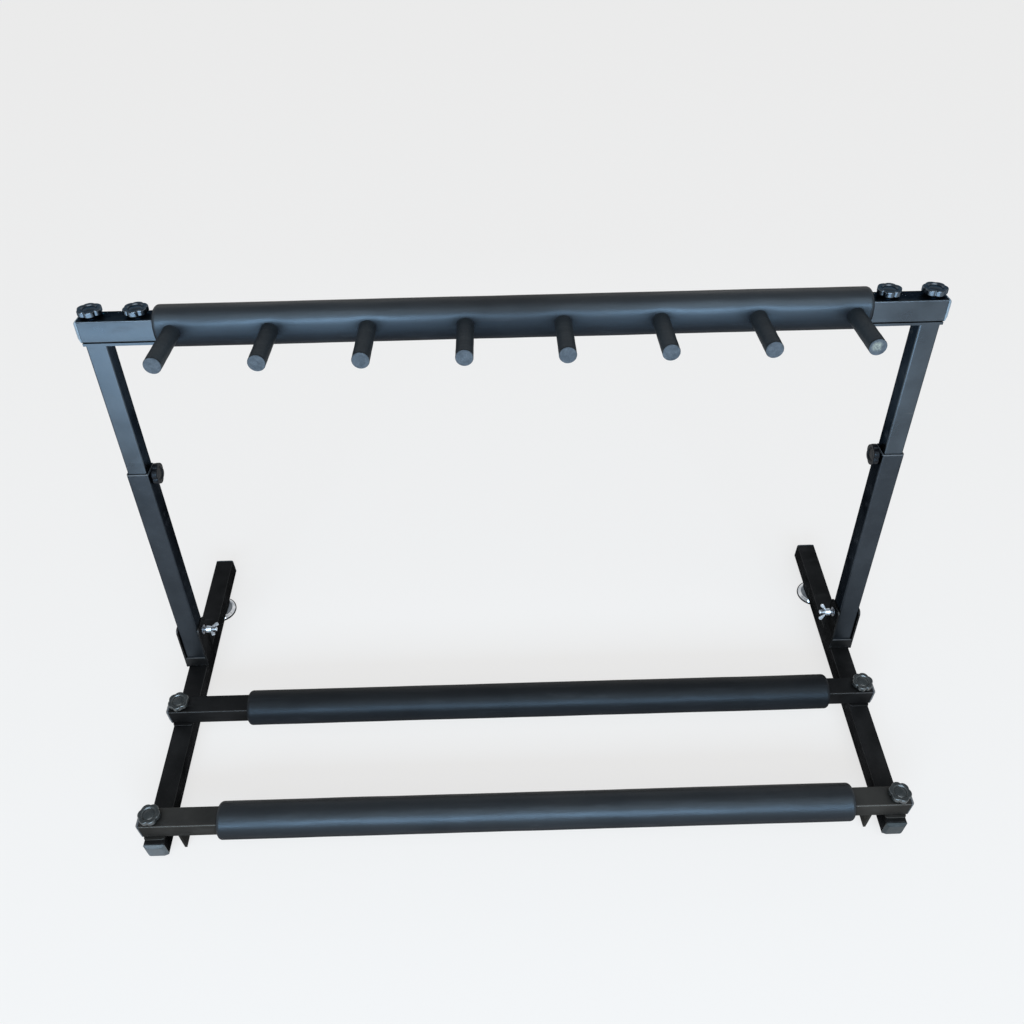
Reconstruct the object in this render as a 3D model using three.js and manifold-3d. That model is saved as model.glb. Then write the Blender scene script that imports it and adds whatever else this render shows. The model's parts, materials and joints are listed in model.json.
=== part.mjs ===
import * as THREE from 'three';
import { mergeVertices } from 'three/addons/utils/BufferGeometryUtils.js';
import Module from 'manifold-3d';

const wasm = await Module();
wasm.setup();

// Racket display stand in millimetres: +X to the right, +Y to the rear, +Z up.
// Two square legs lie on the floor and a front and a middle crossbar join them.
// Two telescopic uprights stand in hinge brackets on the legs, lean back, and carry
// the top crossbar with its pegs. Knobs clamp the crossbars and the sliding uprights.

// Whole stand
const standWidth = 908; // crossbars end to end, caps included
const barOverhang = 4; // outer face of a leg to the end of a crossbar
const legLength = 448; // legs end to end, caps included
const footHeight = 9; // floor to the underside of the legs
const leanDegrees = 8; // uprights, back from the vertical

// Places along a leg
const frontBarInset = 24; // front end of the leg to the front crossbar's middle line
const barPitch = 153; // front crossbar's middle line to the middle crossbar's
const pivotSetback = 100; // middle crossbar's middle line to the uprights' pivot
const pivotHeight = 53; // top of the leg to the pivot
const rearFootInset = 70; // rear end of the leg to the chromed foot
const frontFootInset = 52; // front end of the leg to the rubber foot

// Square steel tube of the legs, the crossbars and the outer uprights
const tubeSide = 25;
const tubeWall = 1.5;
const tubeCorner = 2;
const outerWall = 1.2; // the outer uprights' wall, thinner so that the inner ones fit

// Running and resting gaps
const seatGap = 0.3; // between two pieces that rest on each other
const slideGap = 0.3; // around the inner upright in the outer one
const screwGap = 0.3; // around a screw in its hole
const plugGap = 0.3; // around a cap's plug in its tube
const foamGap = 0.3; // around a tube in its foam sleeve
const weldSink = 0.5; // how deep a welded or moulded-on detail reaches into its carrier
const cutOverrun = 1; // how far a cut runs past the face that it opens

// Uprights, measured along them
const topBarReach = 443.4; // pivot to the top crossbar's middle line
const outerReach = 262.6; // pivot to the top of the guide collar
const outerTail = 46; // pivot to the lower end of the outer upright
const innerOverlap = 134.6; // inner upright's stretch inside the outer one, collar included
const collarHeight = 2;
const topPlate = 3; // plate that closes the inner upright's top and takes a stud

// Plates between tubes
const barLift = 3; // top of a leg to the underside of a low crossbar
const saddleLip = 3; // saddle plate proud of the crossbar, front and rear
const saddleCorner = 3;
const stripThickness = 3;
const stripFoamGap = 2; // end of the top foam sleeve to the strip

// Foam sleeves
const foamInset = 82; // end of a crossbar to the end of its sleeve, before any shift
const foamRadius = 22;
const foamRound = 4.5; // rounding of the foam's outer end edges
const middleFoamShift = 22; // the two low sleeves sit off the middle, to the right
const frontFoamShift = 12.5;

// Pegs on the top crossbar
const pegCount = 8;
const pegInset = 18.5; // end of the top sleeve to the middle of the last peg
const pegReach = 75; // front face of the crossbar to the peg's tip
const pegRadius = 9;
const pegTipWall = 3;
const pegEdge = 1;
const pinRadius = 5;

// End caps
const capHead = 4;
const capChamfer = 3;
const capPlugWall = 2;
const capPlugGap = 1; // plug to the nearest stud or nut

// Clamping knobs, each moulded on its stud
const knobLobes = 6;
const knobRadius = 13;
const knobGroove = 2.2;
const knobLobeShare = 0.55; // power that makes the lobes broad and the grooves narrow
const knobHead = 6.5;
const knobEdge = 1.2;
const knobDishRadius = 8.2;
const knobDishSlope = 1.2;
const knobDishDepth = 1.6;
const knobNeckRadius = 7;
const knobNeck = 3;
const studRadius = 3;
const studProud = 1.5; // stud past the last thread that holds it
const nutRadius = 6;
const nutHeight = 3;
const innerKnobInset = 64; // end of the top crossbar to its inner knob
const sideKnobDrop = 7; // top of the guide collar down to the side knob

// Hinge brackets, folded from sheet and leaning with the uprights
const cheekThickness = 2;
const cheekGap = 0.4; // between a cheek and the upright
const cheekRise = 12; // pivot to the top of the cheeks
const cheekRear = 3; // cheeks past the upright's rear face
const cheekCorner = 6;
const webThickness = 2;
const webHeight = 15; // top of the leg to the top of the front web
const stopGap = 0.3; // upright's front face to the web that stops it
const basePlate = 2.7;

// Pivot bolts with their washers and wing nuts
const boltRadius = 3;
const boltHeadRadius = 8;
const boltHeadHeight = 4;
const boltNeckSide = 6.4;
const boltProud = 6.7; // bolt past the wing nut's hub
const boltTipChamfer = 0.6;
const washerRadius = 6.3;
const washerThickness = 1.5;
const nutSlack = 4; // washer to the wing nut, which is not screwed home
const hubRadius = 4.8;
const hubTopRadius = 4.1;
const hubHeight = 6.5;
const wingReach = 12; // bolt's middle line to the end of a wing
const wingRise = 12.8; // foot of the nut to the top of a wing
const wingTipRadius = 2.3;
const wingThickness = 2.2;
const wingFoot = 1.6; // foot of the nut to a wing's root, which ends as far below the hub's top
const leftWingTurn = 79; // degrees, about the bolt
const rightWingTurn = 20;

// Feet
const chromeFootRadius = 22;
const chromeFootRim = 3.2;
const chromeFootEdge = 0.8;
const chromeFootHubRadius = 6;
const chromeFootStudRadius = 4;
const chromeFootStud = 12;
const rubberFootRadius = 10;
const rubberFootTaper = 1;
const rubberFootStemRadius = 3;
const rubberFootStem = 5;

// Lugs under the front crossbar
const lugInset = 45; // end of the crossbar to the lug's middle
const lugThickness = 3;
const lugDepth = 22;
const lugSetback = 2; // crossbar's front face to the lug's front edge
const lugFloorGap = 4;
const lugHoleRadius = 4;
const lugHoleDrop = 9; // underside of the crossbar to the hole's middle

// How finely round shapes are drawn
const foamSides = 32;
const pegSides = 20;
const holeSides = 12;
const studSides = 12;
const footSides = 24;
const cornerSteps = 2;
const roundSteps = 3;
const domeSteps = 3;
const lobePoints = 6;
const wingSteps = 4;

// Derived places
const lean = THREE.MathUtils.degToRad(leanDegrees);
const quarterTurn = Math.PI / 2;
const halfSide = tubeSide / 2;
const legX = standWidth / 2 - barOverhang - halfSide;
const legBottom = footHeight;
const legMiddle = legBottom + halfSide;
const legTop = legBottom + tubeSide;
const barMiddle = legTop + barLift + halfSide;
const legFrontY = -legLength / 2;
const frontBarY = legFrontY + frontBarInset;
const middleBarY = frontBarY + barPitch;
const pivotY = middleBarY + pivotSetback;
const pivotZ = legTop + pivotHeight;
const tubeLength = standWidth - 2 * (capHead + seatGap);
const foamLength = standWidth - 2 * foamInset;
const pegPitch = (foamLength - 2 * pegInset) / (pegCount - 1);
const holeRadius = studRadius + screwGap;
const bracketInner = halfSide + cheekGap;
const bracketOuter = bracketInner + cheekThickness;
const innerSide = tubeSide - 2 * (outerWall + slideGap);
const innerKnobX = standWidth / 2 - innerKnobInset;
const sideKnobZ = outerReach - sideKnobDrop;

// Finishes
const steelBlack = { color: 0x1d2126, roughness: 0.42, metalness: 0.35 };
const plasticBlack = { color: 0x14161a, roughness: 0.35, metalness: 0 };
const capBlack = { color: 0x2a3036, roughness: 0.5, metalness: 0 };
const foamBlack = { color: 0x202326, roughness: 0.85, metalness: 0 };
const rubberBlack = { color: 0x15171a, roughness: 0.8, metalness: 0 };
const zinc = { color: 0xb8c2c8, roughness: 0.3, metalness: 0.9 };
const chrome = { color: 0xd8dcde, roughness: 0.06, metalness: 1 };

// Signed volume of an indexed triangle list, six times over
function sixfoldVolume(position, triangles) {
  const [a, b, c] = [new THREE.Vector3(), new THREE.Vector3(), new THREE.Vector3()];
  let sum = 0;
  for (let i = 0; i < triangles.length; i += 3) {
    a.fromBufferAttribute(position, triangles[i]);
    b.fromBufferAttribute(position, triangles[i + 1]);
    c.fromBufferAttribute(position, triangles[i + 2]);
    sum += a.dot(b.cross(c));
  }
  return sum;
}

// A solid from a three.js geometry: shared corners merged, flat triangles dropped, faces out
function solidOf(geometry) {
  const bare = new THREE.BufferGeometry();
  bare.setAttribute('position', geometry.getAttribute('position'));
  bare.setIndex(geometry.getIndex());
  const merged = mergeVertices(bare);
  const index = merged.getIndex().array;
  const triangles = [];
  for (let i = 0; i < index.length; i += 3) {
    const [a, b, c] = [index[i], index[i + 1], index[i + 2]];
    if (a !== b && b !== c && c !== a) triangles.push(a, b, c);
  }
  const position = merged.getAttribute('position');
  if (sixfoldVolume(position, triangles) < 0) triangles.reverse();
  return new wasm.Manifold(new wasm.Mesh({
    numProp: 3,
    vertProperties: new Float32Array(position.array),
    triVerts: new Uint32Array(triangles),
  }));
}

function geometryOf(solid) {
  const mesh = solid.getMesh();
  const geometry = new THREE.BufferGeometry();
  geometry.setAttribute('position', new THREE.BufferAttribute(mesh.vertProperties, 3));
  geometry.setIndex(new THREE.BufferAttribute(mesh.triVerts, 1));
  geometry.computeVertexNormals();
  return geometry;
}

function joined(first, ...others) {
  return geometryOf(others.reduce((sum, one) => sum.add(solidOf(one)), solidOf(first)));
}

function cut(body, ...tools) {
  return geometryOf(tools.reduce((rest, tool) => rest.subtract(solidOf(tool)), solidOf(body)));
}

function kept(body, tool) {
  return geometryOf(solidOf(body).intersect(solidOf(tool)));
}

// The same solid, left and right exchanged
function mirrored(geometry) {
  return geometryOf(solidOf(geometry.clone().scale(-1, 1, 1)));
}

// A box given by its two ends on each axis
function block([x0, x1], [y0, y1], [z0, z1]) {
  const box = new THREE.BoxGeometry(x1 - x0, y1 - y0, z1 - z0);
  return box.translate((x0 + x1) / 2, (y0 + y1) / 2, (z0 + z1) / 2);
}

// A round bar along Z between two heights
function rod(radius, z0, z1, sides) {
  const bar = new THREE.CylinderGeometry(radius, radius, z1 - z0, sides);
  return bar.rotateX(quarterTurn).translate(0, 0, (z0 + z1) / 2);
}

// A solid turned about Z from a profile of [radius, height] points that starts and ends on it
function turned(profile, sides) {
  const points = profile.map(([radius, height]) => new THREE.Vector2(radius, height));
  return new THREE.LatheGeometry(points, sides).rotateX(quarterTurn);
}

// Points of a quarter ellipse, from its widest point to its top
function quarterRound(innerRadius, outerRadius, z0, z1, steps) {
  return Array.from({ length: steps + 1 }, (_, i) => {
    const angle = (i / steps) * quarterTurn;
    return [
      innerRadius + (outerRadius - innerRadius) * Math.cos(angle),
      z0 + (z1 - z0) * Math.sin(angle),
    ];
  });
}

// Outline of a square with rounded corners, anticlockwise about the middle
function roundedSquare(side, corner) {
  const reach = side / 2 - corner;
  const points = [];
  for (let quarter = 0; quarter < 4; quarter += 1) {
    const middleAngle = (quarter + 0.5) * quarterTurn;
    const middle = [Math.sign(Math.cos(middleAngle)) * reach, Math.sign(Math.sin(middleAngle)) * reach];
    for (let step = 0; step <= cornerSteps; step += 1) {
      const angle = (quarter + step / cornerSteps) * quarterTurn;
      points.push([middle[0] + corner * Math.cos(angle), middle[1] + corner * Math.sin(angle)]);
    }
  }
  return points;
}

// A closed skin over outlines of equal length, each [points, height]; the ends are fans
function lofted(rings) {
  const count = rings[0][0].length;
  const positions = rings.flatMap(([points, z]) => points.flatMap(([x, y]) => [x, y, z]));
  const triangles = [];
  for (let ring = 0; ring + 1 < rings.length; ring += 1) {
    for (let i = 0; i < count; i += 1) {
      const next = (i + 1) % count;
      const [a, b] = [ring * count + i, ring * count + next];
      triangles.push(a, b, b + count, a, b + count, a + count);
    }
  }
  const lower = positions.length / 3;
  positions.push(0, 0, rings[0][1]);
  positions.push(0, 0, rings.at(-1)[1]);
  const last = (rings.length - 1) * count;
  for (let i = 0; i < count; i += 1) {
    const next = (i + 1) % count;
    triangles.push(lower, next, i, lower + 1, last + i, last + next);
  }
  const geometry = new THREE.BufferGeometry();
  geometry.setAttribute('position', new THREE.Float32BufferAttribute(positions, 3));
  geometry.setIndex(triangles);
  return geometry;
}

// A square tube along Z between two ends
function squareTube(side, wall, z0, z1) {
  const shell = lofted([[roundedSquare(side, tubeCorner), z0], [roundedSquare(side, tubeCorner), z1]]);
  const bore = side / 2 - wall;
  return cut(shell, block([-bore, bore], [-bore, bore], [z0 - cutOverrun, z1 + cutOverrun]));
}

// A weld nut around a hole along Z, as a plain round boss
function weldNut(z0, z1) {
  return rod(nutRadius, z0, z1, holeSides);
}

const stand = new THREE.Group();
const base = new THREE.Group();
const uprights = new THREE.Group();
stand.add(base, uprights);
uprights.position.set(0, pivotY, pivotZ);
uprights.rotation.x = -lean;

// Adds a named piece to a group and returns it, to be placed
function piece(group, name, geometry, finish) {
  const mesh = new THREE.Mesh(geometry, new THREE.MeshStandardMaterial(finish));
  mesh.name = name;
  group.add(mesh);
  return mesh;
}

const sides = [['left', -1], ['right', 1]];

// An end cap along +Z: chamfered head outside, hollow square plug in the tube
function endCap(plugLength) {
  const narrow = tubeSide - 2 * capChamfer;
  const head = lofted([
    [roundedSquare(tubeSide, tubeCorner), 0],
    [roundedSquare(tubeSide, tubeCorner), capHead - capChamfer],
    [roundedSquare(narrow, tubeCorner), capHead],
  ]);
  const outside = halfSide - tubeWall - plugGap;
  const inside = outside - capPlugWall;
  const plug = block([-outside, outside], [-outside, outside], [-plugLength, weldSink]);
  const hollow = block([-inside, inside], [-inside, inside], [-plugLength - cutOverrun, -weldSink]);
  return joined(head, cut(plug, hollow));
}

// Leg with holes for the knob studs above, for the feet below, and its weld nuts
function legTube() {
  const half = legLength / 2 - capHead - seatGap;
  const tube = squareTube(tubeSide, tubeWall, -half, half).rotateX(-quarterTurn);
  const ceiling = halfSide - tubeWall;
  const nuts = [];
  const holes = [];
  for (const y of [frontBarY, middleBarY]) {
    nuts.push(weldNut(ceiling - nutHeight, ceiling + weldSink).translate(0, y, 0));
    holes.push(rod(holeRadius, 0, halfSide + cutOverrun, holeSides).translate(0, y, 0));
  }
  const feet = [
    [legFrontY + frontFootInset, rubberFootStemRadius],
    [-legFrontY - rearFootInset, chromeFootStudRadius],
  ];
  for (const [y, radius] of feet) {
    holes.push(rod(radius + screwGap, -halfSide - cutOverrun, 0, holeSides).translate(0, y, 0));
  }
  return cut(joined(tube, ...nuts), ...holes);
}

function addLegs() {
  const tube = legTube();
  const plug = frontBarInset - nutRadius - capPlugGap - capHead;
  const cap = endCap(plug);
  const capSeat = legLength / 2 - capHead;
  for (const [name, side] of sides) {
    piece(base, `${name}_leg_tube`, tube, steelBlack).position.set(side * legX, 0, legMiddle);
    const front = piece(base, `${name}_leg_front_cap`, cap, capBlack);
    front.position.set(side * legX, -capSeat, legMiddle);
    front.rotation.x = quarterTurn;
    const rear = piece(base, `${name}_leg_rear_cap`, cap, capBlack);
    rear.position.set(side * legX, capSeat, legMiddle);
    rear.rotation.x = -quarterTurn;
  }
}

// Chromed foot: a shallow dome on a plain rim, with its stud up into the leg
function chromeFoot() {
  const hubTop = footHeight - seatGap;
  return turned([
    [0, 0],
    [chromeFootRadius - chromeFootEdge, 0],
    [chromeFootRadius, chromeFootEdge],
    ...quarterRound(chromeFootHubRadius, chromeFootRadius, chromeFootRim, hubTop, domeSteps),
    [chromeFootStudRadius, hubTop],
    [chromeFootStudRadius, hubTop + chromeFootStud],
    [0, hubTop + chromeFootStud],
  ], footSides);
}

// Rubber foot: a tapered pad with a stem pushed into the leg
function rubberFoot() {
  const padTop = footHeight - seatGap;
  return turned([
    [0, 0],
    [rubberFootRadius - rubberFootTaper, 0],
    [rubberFootRadius, padTop],
    [rubberFootStemRadius, padTop],
    [rubberFootStemRadius, padTop + rubberFootStem],
    [0, padTop + rubberFootStem],
  ], holeSides);
}

function addFeet() {
  const rear = chromeFoot();
  const front = rubberFoot();
  for (const [name, side] of sides) {
    const rearY = -legFrontY - rearFootInset;
    piece(base, `${name}_chrome_foot`, rear, chrome).position.set(side * legX, rearY, 0);
    const frontY = legFrontY + frontFootInset;
    piece(base, `${name}_rubber_foot`, front, rubberBlack).position.set(side * legX, frontY, 0);
  }
}

// Crossbar along X with a through hole for each knob's stud
function crossbar(knobPlaces) {
  const half = tubeLength / 2;
  const tube = squareTube(tubeSide, tubeWall, -half, half).rotateY(quarterTurn);
  const reach = halfSide + cutOverrun;
  const holes = knobPlaces.map((x) => rod(holeRadius, -reach, reach, holeSides).translate(x, 0, 0));
  return cut(tube, ...holes);
}

// Lug under the front crossbar: a plate across the bar with a hole, welded to its underside
function lug() {
  const front = -halfSide + lugSetback;
  const bottom = lugFloorGap - barMiddle;
  const half = lugThickness / 2;
  const plate = block([-half, half], [front, front + lugDepth], [bottom, -halfSide + weldSink]);
  const hole = rod(lugHoleRadius, -half - cutOverrun, half + cutOverrun, holeSides).rotateY(quarterTurn);
  hole.translate(0, front + lugDepth / 2, -halfSide - lugHoleDrop);
  return cut(plate, hole);
}

// Foam sleeve along X with a square bore
function foamSleeve() {
  const half = foamLength / 2;
  const face = half - foamRound;
  const flat = foamRadius - foamRound;
  const rightRound = quarterRound(flat, foamRadius, face, half, roundSteps);
  const leftRound = rightRound.map(([radius, z]) => [radius, -z]).reverse();
  const body = turned([[0, -half], ...leftRound, ...rightRound, [0, half]], foamSides);
  const bore = halfSide + foamGap;
  const reach = half + cutOverrun;
  return cut(body, block([-bore, bore], [-bore, bore], [-reach, reach])).rotateY(quarterTurn);
}

function addCapPair(group, name, y, z, cap) {
  for (const [sideName, side] of sides) {
    const mesh = piece(group, `${name}_${sideName}_cap`, cap, capBlack);
    mesh.position.set(side * (standWidth / 2 - capHead), y, z);
    mesh.rotation.y = side * quarterTurn;
  }
}

function barCap() {
  return endCap(barOverhang + halfSide - studRadius - capPlugGap - capHead);
}

// Clamping knob along +Z, its seat at zero: lobed head with a dished top, neck and stud
function knob(studLength) {
  const count = knobLobes * lobePoints;
  const outline = (radius, groove) => Array.from({ length: count }, (_, i) => {
    const angle = (i / count) * 4 * quarterTurn;
    const swell = Math.abs(Math.cos((knobLobes * angle) / 2)) ** knobLobeShare;
    const reach = radius - groove * (1 - swell);
    return [reach * Math.cos(angle), reach * Math.sin(angle)];
  });
  const top = knobNeck + knobHead;
  const head = lofted([
    [outline(knobRadius - knobEdge, knobGroove), knobNeck],
    [outline(knobRadius, knobGroove), knobNeck + knobEdge],
    [outline(knobRadius, knobGroove), top - knobEdge],
    [outline(knobRadius - knobEdge, knobGroove), top],
    [outline(knobDishRadius, 0), top],
    [outline(knobDishRadius - knobDishSlope, 0), top - knobDishDepth],
  ]);
  const shaft = turned([
    [0, -studLength],
    [studRadius, -studLength],
    [studRadius, seatGap],
    [knobNeckRadius, seatGap],
    [knobNeckRadius, knobNeck + weldSink],
    [0, knobNeck + weldSink],
  ], studSides);
  return joined(head, shaft);
}

// Saddle plate between a low crossbar and a leg, with the stud's hole
function saddle() {
  const thickness = barLift - 2 * seatGap;
  const stretch = (halfSide + saddleLip) / halfSide;
  const outline = roundedSquare(tubeSide, saddleCorner).map(([x, y]) => [x, y * stretch]);
  const plate = lofted([[outline, -thickness / 2], [outline, thickness / 2]]);
  return cut(plate, rod(holeRadius, -thickness, thickness, holeSides));
}

function addLowCrossbars() {
  const cap = barCap();
  const plate = saddle();
  const sleeve = foamSleeve();
  const stud = tubeSide + barLift + tubeWall + nutHeight + studProud;
  const clamp = knob(stud);
  const rows = [['front', frontBarY, frontFoamShift], ['middle', middleBarY, middleFoamShift]];
  for (const [name, y, foamShift] of rows) {
    const plain = crossbar([-legX, legX]);
    const lugX = standWidth / 2 - lugInset;
    const lugs = name === 'front' ? [-lugX, lugX].map((x) => lug().translate(x, 0, 0)) : [];
    piece(base, `${name}_crossbar`, joined(plain, ...lugs), steelBlack).position.set(0, y, barMiddle);
    piece(base, `${name}_foam_sleeve`, sleeve, foamBlack).position.set(foamShift, y, barMiddle);
    addCapPair(base, `${name}_crossbar`, y, barMiddle, cap);
    for (const [sideName, side] of sides) {
      const plateZ = legTop + barLift / 2;
      piece(base, `${name}_${sideName}_saddle`, plate, steelBlack).position.set(side * legX, y, plateZ);
      const knobZ = barMiddle + halfSide;
      piece(base, `${name}_${sideName}_knob`, clamp, plasticBlack).position.set(side * legX, y, knobZ);
    }
  }
}

// Hinge bracket about the pivot: two cheeks and a low front web that lean with the upright,
// cut off level above the leg, on a flat plate
function hingeBracket() {
  const legPlane = -pivotHeight + seatGap;
  const webRear = -halfSide - stopGap;
  const webFront = webRear - webThickness;
  const rear = halfSide + cheekRear;
  const below = -2 * pivotHeight;
  const cheek = new THREE.Shape();
  cheek.moveTo(webFront, below);
  cheek.lineTo(rear, below);
  cheek.absarc(rear - cheekCorner, cheekRise - cheekCorner, cheekCorner, 0, quarterTurn);
  cheek.absarc(webFront + cheekCorner, cheekRise - cheekCorner, cheekCorner, quarterTurn, 2 * quarterTurn);
  const sheet = { depth: cheekThickness, bevelEnabled: false, curveSegments: cornerSteps };
  const cheeks = [-bracketOuter, bracketInner].map((x) => {
    const plate = new THREE.ExtrudeGeometry(cheek, sheet);
    return plate.rotateX(quarterTurn).rotateZ(quarterTurn).translate(x, 0, 0);
  });
  const webTop = (webHeight - pivotHeight) / Math.cos(lean) - halfSide * Math.tan(lean);
  const web = block([-bracketOuter, bracketOuter], [webFront, webRear], [below, webTop]);
  const leaning = joined(cheeks[0], cheeks[1], web).rotateX(-lean);
  const far = 2 * pivotHeight;
  const above = block([-far, far], [-far, far], [legPlane, far]);
  const footFront = webFront / Math.cos(lean) - pivotHeight * Math.tan(lean);
  const footRear = rear / Math.cos(lean) - pivotHeight * Math.tan(lean);
  const foot = block([-bracketOuter, bracketOuter], [footFront, footRear], [legPlane, legPlane + basePlate]);
  const neck = boltNeckSide / 2 + screwGap;
  const round = rod(boltRadius + screwGap, -bracketOuter - cutOverrun, 0, holeSides).rotateY(quarterTurn);
  const square = block([bracketInner - cutOverrun, bracketOuter + cutOverrun], [-neck, neck], [-neck, neck]);
  return cut(joined(kept(leaning, above), foot), round, square);
}

// Pivot bolt along +Z, inward from the bracket's outer face: dome head, square neck, shank
function pivotBolt(length) {
  const head = turned([
    [0, -seatGap - boltHeadHeight],
    ...quarterRound(0, boltHeadRadius, -seatGap, -seatGap - boltHeadHeight, domeSteps).reverse().slice(1),
    [boltRadius, -seatGap],
    [boltRadius, length - boltTipChamfer],
    [boltRadius - boltTipChamfer, length],
    [0, length],
  ], holeSides);
  const half = boltNeckSide / 2;
  return joined(head, block([-half, half], [-half, half], [-seatGap - weldSink, cheekThickness]));
}

function washer() {
  const plate = rod(washerRadius, 0, washerThickness, pegSides);
  return cut(plate, rod(boltRadius + screwGap, -cutOverrun, washerThickness + cutOverrun, holeSides));
}

// Wing nut along +Z: tapered hub and two rounded wings
function wingNut() {
  const hub = turned([[0, 0], [hubRadius, 0], [hubTopRadius, hubHeight], [0, hubHeight]], holeSides);
  const tipX = wingReach - wingTipRadius;
  const tipZ = wingRise - wingTipRadius;
  const wing = new THREE.Shape();
  wing.moveTo(hubTopRadius - weldSink, wingFoot);
  wing.absarc(tipX, tipZ, wingTipRadius, -quarterTurn / 2, quarterTurn + quarterTurn / 2);
  wing.lineTo(hubTopRadius - weldSink, hubHeight - wingFoot);
  const sheet = { depth: wingThickness, bevelEnabled: false, curveSegments: wingSteps };
  const right = new THREE.ExtrudeGeometry(wing, sheet).rotateX(quarterTurn).translate(0, wingThickness / 2, 0);
  const left = right.clone().rotateZ(2 * quarterTurn);
  const bore = rod(boltRadius + screwGap, -cutOverrun, hubHeight + cutOverrun, holeSides);
  return cut(joined(hub, right, left), bore);
}

function addHinges() {
  const bracket = hingeBracket();
  const washerSeat = 2 * bracketOuter + seatGap;
  const nutSeat = washerSeat + washerThickness + nutSlack;
  const bolt = pivotBolt(nutSeat + hubHeight + boltProud);
  const turns = { left: leftWingTurn, right: rightWingTurn };
  for (const [name, side] of sides) {
    const handed = side < 0 ? mirrored(bracket) : bracket;
    piece(base, `${name}_hinge_bracket`, handed, steelBlack).position.set(side * legX, pivotY, pivotZ);
    const stack = new THREE.Group();
    stack.position.set(side * (legX + bracketOuter), pivotY, pivotZ);
    stack.rotation.y = -side * quarterTurn;
    base.add(stack);
    piece(stack, `${name}_pivot_bolt`, bolt, zinc);
    piece(stack, `${name}_pivot_washer`, washer(), zinc).position.z = washerSeat;
    const nut = piece(stack, `${name}_wing_nut`, wingNut(), zinc);
    nut.position.z = nutSeat;
    nut.rotation.z = THREE.MathUtils.degToRad(turns[name]);
  }
}

// Outer upright about the pivot, with the bolt's holes and the side knob's hole
function outerUpright(side) {
  const top = outerReach - collarHeight - seatGap;
  const tube = squareTube(tubeSide, outerWall, -outerTail, top);
  const reach = halfSide + cutOverrun;
  const pivotHole = rod(boltRadius + screwGap, -reach, reach, holeSides).rotateY(quarterTurn);
  const knobHole = rod(holeRadius, 0, reach, holeSides).rotateY(-side * quarterTurn);
  return cut(tube, pivotHole, knobHole.translate(0, 0, sideKnobZ));
}

// Guide collar: a square plastic lip around the inner upright, on top of the outer one
function guideCollar() {
  const outline = roundedSquare(tubeSide, tubeCorner);
  const ring = lofted([[outline, -collarHeight], [outline, 0]]);
  const bore = innerSide / 2 + slideGap;
  const reach = collarHeight + cutOverrun;
  return cut(ring, block([-bore, bore], [-bore, bore], [-reach, cutOverrun]));
}

// Inner upright with the plate that closes its top and takes a knob's stud
function innerUpright() {
  const top = topBarReach - halfSide - stripThickness - 2 * seatGap;
  const tube = squareTube(innerSide, tubeWall, outerReach - innerOverlap, top);
  const inside = innerSide / 2 - tubeWall + weldSink;
  const plate = block([-inside, inside], [-inside, inside], [top - topPlate, top]);
  const hole = rod(holeRadius, top - topPlate - cutOverrun, top + cutOverrun, holeSides);
  return cut(joined(tube, plate), hole);
}

function addUprights() {
  const inner = innerUpright();
  const collar = guideCollar();
  const clamp = knob(outerWall);
  for (const [name, side] of sides) {
    const x = side * legX;
    piece(uprights, `${name}_outer_upright`, outerUpright(side), steelBlack).position.x = x;
    piece(uprights, `${name}_inner_upright`, inner, steelBlack).position.x = x;
    piece(uprights, `${name}_guide_collar`, collar, plasticBlack).position.set(x, 0, outerReach);
    const mesh = piece(uprights, `${name}_side_knob`, clamp, plasticBlack);
    mesh.position.set(x - side * halfSide, 0, sideKnobZ);
    mesh.rotation.y = -side * quarterTurn;
  }
}

// Strip under an end of the top crossbar, right side, with a weld nut for the inner knob
function topStrip() {
  const top = -halfSide - seatGap;
  const bottom = top - stripThickness;
  const inboard = foamLength / 2 + stripFoamGap;
  const plate = block([inboard, legX + halfSide], [-halfSide, halfSide], [bottom, top]);
  const nut = weldNut(bottom - nutHeight, bottom + weldSink).translate(innerKnobX, 0, 0);
  const holes = [innerKnobX, legX].map((x) => {
    const low = bottom - nutHeight - cutOverrun;
    return rod(holeRadius, low, top + cutOverrun, holeSides).translate(x, 0, 0);
  });
  return cut(joined(plate, nut), ...holes);
}

// Places of the pegs along the top crossbar
const pegPlaces = Array.from({ length: pegCount }, (_, i) => (i - (pegCount - 1) / 2) * pegPitch);

// Top crossbar with a pin for each peg, welded to its front face
function topCrossbar() {
  const plain = crossbar([-legX, -innerKnobX, innerKnobX, legX]);
  const tip = halfSide + pegReach - pegTipWall - seatGap;
  const pins = pegPlaces.map((x) => {
    const pin = rod(pinRadius, halfSide - weldSink, tip, holeSides);
    return pin.rotateX(quarterTurn).translate(x, 0, 0);
  });
  return joined(plain, ...pins);
}

// Peg sleeve along +Z from the crossbar's front face: blind bore, flat tip
function pegSleeve() {
  const bore = pinRadius + foamGap;
  const bottom = pegReach - pegTipWall;
  return turned([
    [0, bottom],
    [bore, bottom],
    [bore, seatGap],
    [pegRadius, seatGap],
    [pegRadius, pegReach - pegEdge],
    [pegRadius - pegEdge, pegReach],
    [0, pegReach],
  ], pegSides);
}

// Top foam sleeve: the plain sleeve with a hole in its front for each peg
function topFoamSleeve() {
  const reach = foamRadius + cutOverrun;
  const holes = pegPlaces.map((x) => {
    const hole = rod(pegRadius + foamGap, halfSide, reach, pegSides);
    return hole.rotateX(quarterTurn).translate(x, 0, 0);
  });
  return cut(foamSleeve(), ...holes);
}

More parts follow.
